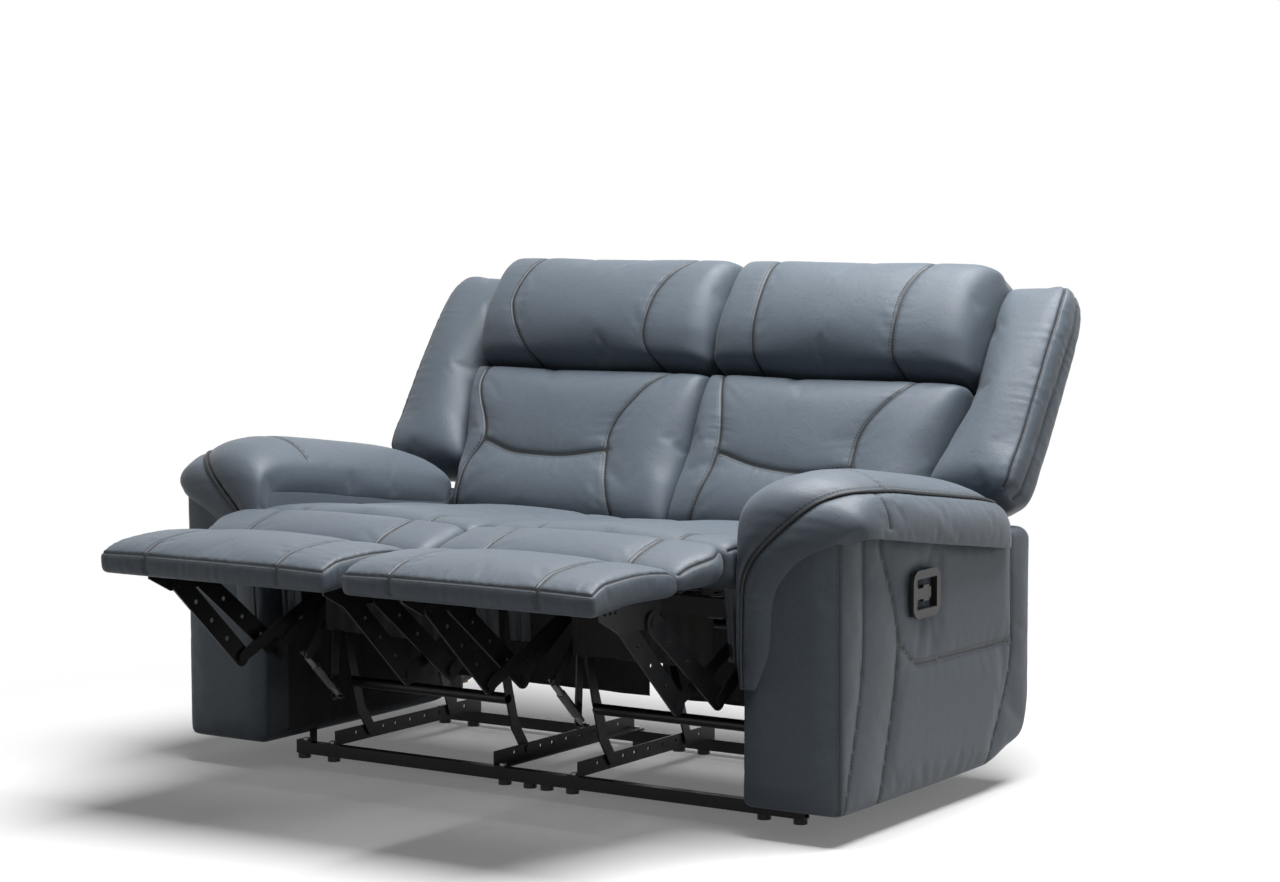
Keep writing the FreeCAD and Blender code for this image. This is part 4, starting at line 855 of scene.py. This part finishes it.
class SOFA_OT_headrests(bpy.types.Operator):
    """Sew and fill the headrests, which roll over the tops of the backs"""
    bl_idname = "sofa.headrests"
    bl_label = "Headrests"

    def execute(self, context):
        ups = ((0.355, 0.050, 0.136, 0.004),
               (0.372, 0.034, 0.168, 0.008),
               (0.410, 0.034, 0.186, 0.012),
               (0.460, 0.034, 0.194, 0.014),
               (0.520, 0.010, 0.192, 0.014),
               (0.572, 0.000, 0.180, 0.012),
               (0.604, 0.010, 0.156, 0.008), (0.620, 0.036, 0.122, 0.004))
        rows = [back_row(up, low, top, 0.004, 0.600, crown) for up, low, top, crown in ups]

        def make(label, side):
            lines = back_lines(HEAD_SEAMS[label], 0.355, 0.620)
            pad = Pad(label + "_head", rows, context.scene.sofa_padding.cell, 0.045,
                      lines=[(0.2, lines[0]), (0.8, lines[1])])
            pad.sew_line(0, thread=0.6)
            pad.sew_line(1, thread=1.0)
            piece = pad.build(side, cap=0.022, gather=1.5, reach=0.035)
            settle(piece, label + "_back", [label + "_headrest"], leather_material())
        on_both(make)
        return {"FINISHED"}


class SOFA_OT_wings(bpy.types.Operator):
    """Sew and fill the wings beside the backs"""
    bl_idname = "sofa.wings"
    bl_label = "Wings"

    def execute(self, context):
        ups = ((0.106, 0.004, 0.118, 0.742),
               (0.134, -0.018, 0.130, 0.758),
               (0.220, -0.024, 0.130, 0.763),
               (0.352, -0.024, 0.130, 0.765),
               (0.480, -0.024, 0.124, 0.764),
               (0.556, -0.020, 0.110, 0.756),
               (0.590, -0.006, 0.088, 0.740), (0.597, 0.012, 0.074, 0.722))
        rows = [back_row(up, low, top, flare(up) + 0.002, outer, 0.004)
                for up, low, top, outer in ups]

        def make(label, side):
            pad = Pad(label + "_wing_pad", rows, context.scene.sofa_padding.cell, 0.030,
                      lines=[(0.55, straight(0.690))],
                      top=lambda a, b: 0.016 * a ** 1.5,
                      low=lambda a, b: 0.05 * np.clip(a - 0.6, 0, 1) / 0.4,
                      bulge=0.004, thick=0.150)
            pad.sew_edge((0, 2), (1, 1), thread=1.0, hold=1.0)
            a, b, c = pad.shares.T
            side_seam = (c - 0.5 - 0.05 * np.sin(6 * b)) * 0.150 + np.where(a < 1, 1.0, 0)
            pad.near(side_seam, b * pad.length, 0.7, 1.0)
            piece = pad.build(side, cap=0.016, gather=2.0, reach=0.05)
            settle(piece, label + "_back", [label + "_wing"], leather_material())
        on_both(make)
        return {"FINISHED"}


class SOFA_OT_back_covers(bpy.types.Operator):
    """Sew and fill the padded outside backs"""
    bl_idname = "sofa.back_covers"
    bl_label = "Back covers"

    def execute(self, context):
        ups = ((-0.028, -0.026),
               (0.020, -0.029),
               (0.200, -0.030),
               (0.352, -0.030),
               (0.500, -0.029), (0.564, -0.026))
        rows = [back_row(up, low, -0.0085, 0.003, flare(up) - 0.002, 0) for up, low in ups]

        def make(label, side):
            pad = Pad(label + "_outside_back", rows, context.scene.sofa_padding.cell * 1.5, 0.008,
                      lines=[(0.5, straight(0.29))])
            a, b, c = pad.shares.T
            pad.held = np.where(c == 1, 1.0, 0.0)
            pad.near((a - 0.5) * pad.width + np.where(c > 0, 1.0, 0), b * pad.length, 1.0, 1.0)
            pad.near((b - 0.24) * pad.length + np.where(c > 0, 1.0, 0), a * pad.width, 1.0, 1.0)
            piece = pad.build(side, fill=0.5, cap=0.006, groove=0.5, gather=0.8)
            settle(piece, label + "_back", [label + "_back_cover"], leather_material())
        on_both(make)
        return {"FINISHED"}


class SOFA_OT_arm_pads(bpy.types.Operator):
    """Sew and fill the arm pads, which roll over the front of the arms, and pipe them"""
    bl_idname = "sofa.arm_pads"
    bl_label = "Arm pads"

    def execute(self, context):
        radius = context.scene.sofa_leather.pipe_radius
        edge = through([(0, 0.84), (0.08, 0.88), (0.45, 0.89), (0.56, 0.86), (0.66, 0.62),
                        (0.74, 0.34), (0.82, 0.16), (1, 0.14)])
        crown = through([(0, 0.010), (0.06, 0.026), (0.2, 0.036), (0.5, 0.038), (0.62, 0.026),
                         (0.72, 0.008), (1, 0.0)])
        tuck = through([(0, 0.75), (0.5, 0.82), (0.6, 0.8), (0.72, 0.5), (1, 0.4)])

        def section(a, b):
            turn = np.clip((a - 0.5) * 2, 0, 1) * math.pi / 2
            inner = np.clip(a * 2, 0, 1)
            share = np.where(a < 0.5, inner * edge(b), edge(b) + (1 - edge(b)) * np.sin(turn))
            drop = tuck(b) * (1 - np.cos(turn)) + 0.12 * (1 - inner) ** 3
            return share, drop, crown(b) * (1 - np.abs(2 * inner - 1) ** 2.4) * (a < 0.5)

        def make(label, side):
            pad = Pad(label + "_arm_top", PAD_ROWS, context.scene.sofa_padding.cell, 0.010,
                      profile=section, thick=0.080)
            a, b, c = pad.shares.T
            half = pad.counts[0] // 2 / pad.counts[0]
            pad.near((a - half) * pad.width + np.where(c < 1, 1.0, 0), b * pad.length, 0.7, 1.0)
            pad.near((b - 0.50) * pad.length + np.where((c < 1) | (a > 0.52), 1.0, 0),
                     a * pad.width, 0.9, 0.75)
            pad.near((b - 0.555) * pad.length + np.where((c < 1) | (a < 0.5), 1.0, 0),
                     a * pad.width, 0.7, 0.75)
            piece = pad.build(side, fill=0.8, cap=0.012, groove=0.7, gather=1.4, reach=0.05)
            settle(piece, "base", [label + "_arm_pad"], leather_material())
            line = pad.ids[pad.counts[0] // 2, 1:-1, -1]
            rim = read_points(piece)[line] + read_normals(piece)[line] * 0.003
            pipe(label + "_arm_piping", rim, radius, "base", leather_material())
        on_both(make)
        return {"FINISHED"}


class SOFA_OT_arm_covers(bpy.types.Operator):
    """Sew the leather that covers the arms' sides, fronts and rears"""
    bl_idname = "sofa.arm_covers"
    bl_label = "Arm covers"

    def execute(self, context):
        rows = []
        for y, low, high, inner in ((0.469, 0.205, 0.482, 0.559), (0.458, 0.140, 0.496, 0.559),
                                    (0.440, 0.094, 0.505, 0.559),
                                    (0.380, 0.078, 0.504, 0.559),
                                    (0.284, 0.056, 0.506, 0.559),
                                    (0.000, 0.054, 0.542, 0.559),
                                    (-0.200, 0.054, 0.568, 0.557),
                                    (-0.287, 0.055, 0.578, 0.553)):
            rows.append((y, low, y if y > -0.25 else y - 0.003, high, inner, 0.757, 0.0))

        def make(label, side):
            pad = Pad(label + "_arm_side", rows, context.scene.sofa_padding.cell * 1.2, 0.014,
                      thick=0.46)
            a, b, c = pad.shares.T
            x, y, z = pad.points.T
            outer = np.where(a == 1, 0.0, 1.0)
            for line, thread, hold in ((((0.549, -0.209), (0.363, -0.206), (0.056, -0.270)), 1.0, 1.0),
                                       (((0.522, -0.146),
                                       (0.347, -0.079),
                                       (0.048, -0.147)), 0.9, 1.0),
                                       (((0.483, 0.383),
                                       (0.287, 0.387),
                                       (0.053, 0.284)), 0.9, 1.0)):
                knots = [p[0] for p in line[::-1]]
                places = [[p[1]] for p in line[::-1]]
                gap = y - monotone(knots, places, z)[:, 0] + outer
                pad.near(pad.pull(gap, 1, pad.length / pad.counts[1]), z, thread, hold)
            pocket = monotone([-0.072, 0.002, 0.374], [[0.337], [0.294], [0.289]], y)[:, 0]
            gap = z - pocket + outer + np.where((y < -0.072) | (y > 0.374), 1.0, 0)
            pad.near(pad.pull(gap, 2, 0.46 / pad.counts[2]), y, 0.6, 0.75)
            pad.sew_edge((0, 1), (1, 1), thread=0.8, hold=1.0)
            handle = np.hypot(y - HANDLE[0], z - HANDLE[1])
            hidden = (a < 1) & (b < 1) | (c == 1) | (b == 0)
            pad.held = np.maximum(pad.held, np.where(hidden, 1.0, 0.0))
            pad.held = np.maximum(pad.held, np.where((a == 1) & (handle < 0.055), 1.0, 0.0))
            piece = pad.build(side, fill=0.3, cap=0.005, groove=0.6, gather=0.4, reach=0.05)
            points = read_points(piece)
            aside, above = points[:, 1] - HANDLE[0], points[:, 2] - HANDLE[1]
            far = np.hypot(aside, above)
            out = np.abs(points[:, 0]) > 0.70
            angle = np.arctan2(above, aside)
            dimple = np.exp(-((far - 0.044) / 0.014) ** 2) * (1 + 0.3 * waves(angle, 0.9, 0.4))
            inside = np.where(far < 0.030, 0.010, np.where(far < 0.040, 0.003, 0.0))
            points[:, 0] -= side * np.where(out, 0.002 * dimple + inside, 0)
            write_points(piece, points)
            settle(piece, "base", [label + "_arm_cover"], leather_material())
        on_both(make)
        return {"FINISHED"}


def hang(name, across, down, folds, depth, place, material, thick=0.0012):
    """A hanging sheet with vertical folds: place turns (along, drop, fold) into points."""
    bpy.ops.object.select_all(action="DESELECT")
    bpy.ops.mesh.primitive_grid_add(x_subdivisions=across, y_subdivisions=down, size=1)
    piece = bpy.context.object
    piece.name = name
    points = read_points(piece)
    along, drop = points[:, 0] + 0.5, 0.5 - points[:, 1]
    fold = depth * waves(along, 1.0 / folds, 0.5) * (0.25 + 0.75 * drop ** 0.7)
    write_points(piece, np.column_stack(place(along, drop, fold)))
    apply_modifier(piece, "SOLIDIFY", thickness=thick, offset=0.0)
    piece.data.shade_smooth()
    piece.data.materials.append(material)
    return piece


class SOFA_OT_valances(bpy.types.Operator):
    """Hang the dark cloth below the seats"""
    bl_idname = "sofa.valances"
    bl_label = "Valances"

    def execute(self, context):
        lining = cloth_material("lining", (0.024, 0.021, 0.019))

        def make(label, side):
            def place(u, v, f):
                fold = 0.0028 * np.sin(2 * math.pi * 8 * u + 0.6 * np.sin(9 * u)) * v ** 0.6
                return (side * (0.2975 + 0.310 * (u - 0.5)), -0.216 + fold,
                        0.386 - 0.100 * v - 0.0015 * np.sin(19 * u) * v)
            piece = hang(label + "_hanging_cloth", 90, 30, 1, 0.0, place, lining)
            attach(piece, label + "_seat")
            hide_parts(label + "_valance")
        on_both(make)
        return {"FINISHED"}


class SOFA_OT_dust_cloths(bpy.types.Operator):
    """Hang the black cloths behind the mechanisms and inside the arms"""
    bl_idname = "sofa.dust_cloths"
    bl_label = "Dust cloths"

    def execute(self, context):
        black = cloth_material("black cloth", (0.010, 0.010, 0.011))

        def make(label, side):
            rear = hang(label + "_rear_cloth", 80, 36, 5, 0.004,
                        lambda u, v, f: (side * (0.016 + 0.528 * u), 0.292 + f + 0 * u,
                                         0.405 - 0.285 * v), black)
            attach(rear, label + "_seat")
            inner = hang(label + "_arm_lining", 80, 44, 3, 0.0008,
                         lambda u, v, f: (side * (0.5572 + f), -0.262 + 0.640 * u,
                                          0.470 - 0.090 * u - (0.400 - 0.095 * u) * v), black,
                         0.0008)
            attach(inner, "base")
        on_both(make)
        return {"FINISHED"}


class SOFA_OT_side_flaps(bpy.types.Operator):
    """Hang the gathered leather flaps at the seats' front corners"""
    bl_idname = "sofa.side_flaps"
    bl_label = "Side flaps"

    def execute(self, context):
        def make(label, side):
            for end, x0, x1 in (("inner", 0.010, 0.064), ("outer", 0.494, 0.548)):
                # The flaps use a copy of the leather at 0.45 of its colour: painted shade for the
                # shade under the seat fronts.
                flap = hang(label + "_" + end + "_flap", 36, 40, 2.6, 0.005,
                            lambda u, v, f: (side * (x0 + (x1 - x0) * (u + 0.12 * (0.5 - u) * v)),
                                             -0.250 + f + 0.014 * v, 0.455 - 0.150 * v),
                            leather_material("leather with painted shade", 0.45), 0.0022)
                for n in ("seam", "run", "thread"):
                    put_values(flap, n, np.full(len(flap.data.vertices), 1.0 if n == "seam" else 0))
                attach(flap, label + "_seat")
        on_both(make)
        return {"FINISHED"}


class SOFA_OT_metalwork(bpy.types.Operator):
    """Finish the steel base, the mechanisms and their springs"""
    bl_idname = "sofa.metalwork"
    bl_label = "Metalwork"

    def execute(self, context):
        black = metal_material("black steel", (0.010, 0.010, 0.011), (0.10, 0.10, 0.105),
                               0.34, 0.35)
        spring = metal_material("spring steel", (0.20, 0.20, 0.205), (0.42, 0.42, 0.43), 0.34, 1.0)
        bolt = metal_material("bolt steel", (0.34, 0.34, 0.345), (0.55, 0.55, 0.55), 0.36, 1.0)
        finish_nodes(black, "front_strips", "rear_strips", "side_rails", "arm_brackets")
        finish_nodes(bolt, "frame_bolts")
        for label in ("left", "right"):
            finish_nodes(black, *[label + "_" + n for n in (
                "front_legs", "rear_legs", "side_plates", "drive_links", "front_links",
                "guide_links", "upper_links", "footrest_brackets", "back_brackets")])
            finish_nodes(spring, label + "_seat_springs", label + "_lift_spring")
        return {"FINISHED"}


class SOFA_OT_woodwork(bpy.types.Operator):
    """Finish the plywood arm frames and the cloth-wrapped frames of seats, backs and footrests"""
    bl_idname = "sofa.woodwork"
    bl_label = "Woodwork"

    def execute(self, context):
        wood = wood_material()
        wrap = cloth_material("dust cloth", (0.018, 0.017, 0.017))
        for label in ("left", "right"):
            finish_nodes(wood, label + "_arm_frame")
            finish_nodes(wrap, *[label + "_" + n for n in ("seat_frame", "footrest_board",
                                                           "back_frame")])
        return {"FINISHED"}


class SOFA_OT_handles(bpy.types.Operator):
    """Finish the release handles, their bezels and the feet"""
    bl_idname = "sofa.handles"
    bl_label = "Handles"

    def execute(self, context):
        plastic = plastic_material()
        finish_nodes(plastic, "glide_feet")
        for label in ("left", "right"):
            finish_nodes(plastic, label + "_handle_bezel", label + "_handle_paddle")
        return {"FINISHED"}


class SOFA_OT_studio(bpy.types.Operator):
    """Set up the camera, the pale floor and the soft lamps"""
    bl_idname = "sofa.studio"
    bl_label = "Studio"

    def execute(self, context):
        scene = context.scene
        looks = scene.sofa_studio
        lens = bpy.data.cameras.new("camera")
        lens.lens = 81.75
        lens.sensor_width = 36
        lens.sensor_fit = "HORIZONTAL"
        lens.clip_end = 100
        camera = bpy.data.objects.new("camera", lens)
        camera.location = (3.20328, -4.67296, 1.134)
        camera.rotation_euler = (math.radians(90 - 4.714), 0, math.radians(33.145))
        scene.collection.objects.link(camera)
        scene.camera = camera
        for name, place, turn, size, power in (
                ("softbox", (0.8, 0.25, 3.3), (0, 0, 0), 2.4, looks.softbox),
                ("fill", (4.6, -1.6, 1.9), (math.radians(72), 0, math.radians(72)), 2.4,
                 looks.fill)):
            lamp = bpy.data.lights.new(name, "AREA")
            lamp.size = size
            lamp.energy = power
            holder = bpy.data.objects.new(name, lamp)
            holder.location = place
            holder.rotation_euler = turn
            scene.collection.objects.link(holder)
        bpy.ops.object.select_all(action="DESELECT")
        bpy.ops.mesh.primitive_circle_add(vertices=96, radius=30, fill_type="NGON")
        floor = context.object
        floor.name = "floor"
        material = bpy.data.materials.new("floor")
        material.use_nodes = True
        tree = material.node_tree
        tree.nodes.clear()
        path = tree.nodes.new("ShaderNodeLightPath").outputs
        seen = formula(tree, "MAXIMUM", path["Is Camera Ray"], path["Is Glossy Ray"])
        bright = add_node(tree, "ShaderNodeBsdfDiffuse", {"Color": (0.96, 0.96, 0.96, 1)})
        dim = add_node(tree, "ShaderNodeBsdfDiffuse", {"Color": (0.11, 0.111, 0.113, 1)})
        white = add_node(tree, "ShaderNodeEmission", {"Color": (1, 1, 1, 1), "Strength": 1.0})
        ground = add_node(tree, "ShaderNodeMixShader", {0: seen, 1: dim.outputs[0],
                                                        2: bright.outputs[0]})
        place = tree.nodes.new("ShaderNodeTexCoord").outputs["Object"]
        away = add_node(tree, "ShaderNodeVectorMath", {0: place}, operation="LENGTH")
        fade = ramp(tree, away.outputs["Value"], 0.9, 1.9, 0.14, 1.0)
        rim = formula(tree, "MULTIPLY", fade, seen)
        both = add_node(tree, "ShaderNodeMixShader", {0: rim, 1: ground.outputs[0],
                                                      2: white.outputs[0]})
        add_node(tree, "ShaderNodeOutputMaterial", {"Surface": both.outputs[0]})
        floor.data.materials.append(material)
        world = bpy.data.worlds.new("studio")
        world.use_nodes = True
        scene.world = world
        tree = world.node_tree
        tree.nodes.clear()
        path = tree.nodes.new("ShaderNodeLightPath").outputs
        seen = formula(tree, "MAXIMUM", path["Is Camera Ray"], path["Is Glossy Ray"])
        seen = formula(tree, "MAXIMUM", seen, path["Is Transmission Ray"])
        sky = add_node(tree, "ShaderNodeBackground", {"Color": (1, 1, 1, 1), "Strength": looks.sky})
        white = add_node(tree, "ShaderNodeBackground", {"Color": (1, 1, 1, 1), "Strength": 1.0})
        mixed = add_node(tree, "ShaderNodeMixShader", {0: seen, 1: sky.outputs[0],
                                                       2: white.outputs[0]})
        add_node(tree, "ShaderNodeOutputWorld", {"Surface": mixed.outputs[0]})
        scene.view_settings.view_transform = "Standard"
        return {"FINISHED"}


OPERATORS = (
    SOFA_OT_metalwork, SOFA_OT_woodwork, SOFA_OT_handles, SOFA_OT_valances,
    SOFA_OT_dust_cloths, SOFA_OT_side_flaps,
    SOFA_OT_seat_cushions, SOFA_OT_knee_pads, SOFA_OT_footrest_pads, SOFA_OT_lumbar_cushions,
    SOFA_OT_headrests, SOFA_OT_wings, SOFA_OT_back_covers, SOFA_OT_arm_covers, SOFA_OT_arm_pads,
    SOFA_OT_studio)
GROUPS = (("sofa_leather", SofaLeather), ("sofa_padding", SofaPadding),
          ("sofa_studio", SofaStudio))


class SOFA_PT_panel(bpy.types.Panel):
    """Lists the sofa's sizes, colours and pieces"""
    bl_label = "Sofa"
    bl_space_type = "VIEW_3D"
    bl_region_type = "UI"
    bl_category = "Sofa"

    def draw(self, context):
        for name, kind in GROUPS:
            box = self.layout.box()
            values = getattr(context.scene, name)
            for key in kind.__annotations__:
                box.prop(values, key)
        for operator in OPERATORS:
            self.layout.operator(operator.bl_idname)


def register():
    for name, kind in GROUPS:
        bpy.utils.register_class(kind)
        setattr(bpy.types.Scene, name, bpy.props.PointerProperty(type=kind))
    for kind in (*OPERATORS, SOFA_PT_panel):
        bpy.utils.register_class(kind)


def unregister():
    for kind in (SOFA_PT_panel, *reversed(OPERATORS)):
        bpy.utils.unregister_class(kind)
    for name, kind in reversed(GROUPS):
        delattr(bpy.types.Scene, name)
        bpy.utils.unregister_class(kind)


def main():
    register()
    for operator in OPERATORS:
        area, name = operator.bl_idname.split(".")
        getattr(getattr(bpy.ops, area), name)()


if __name__ == "__main__":
    main()
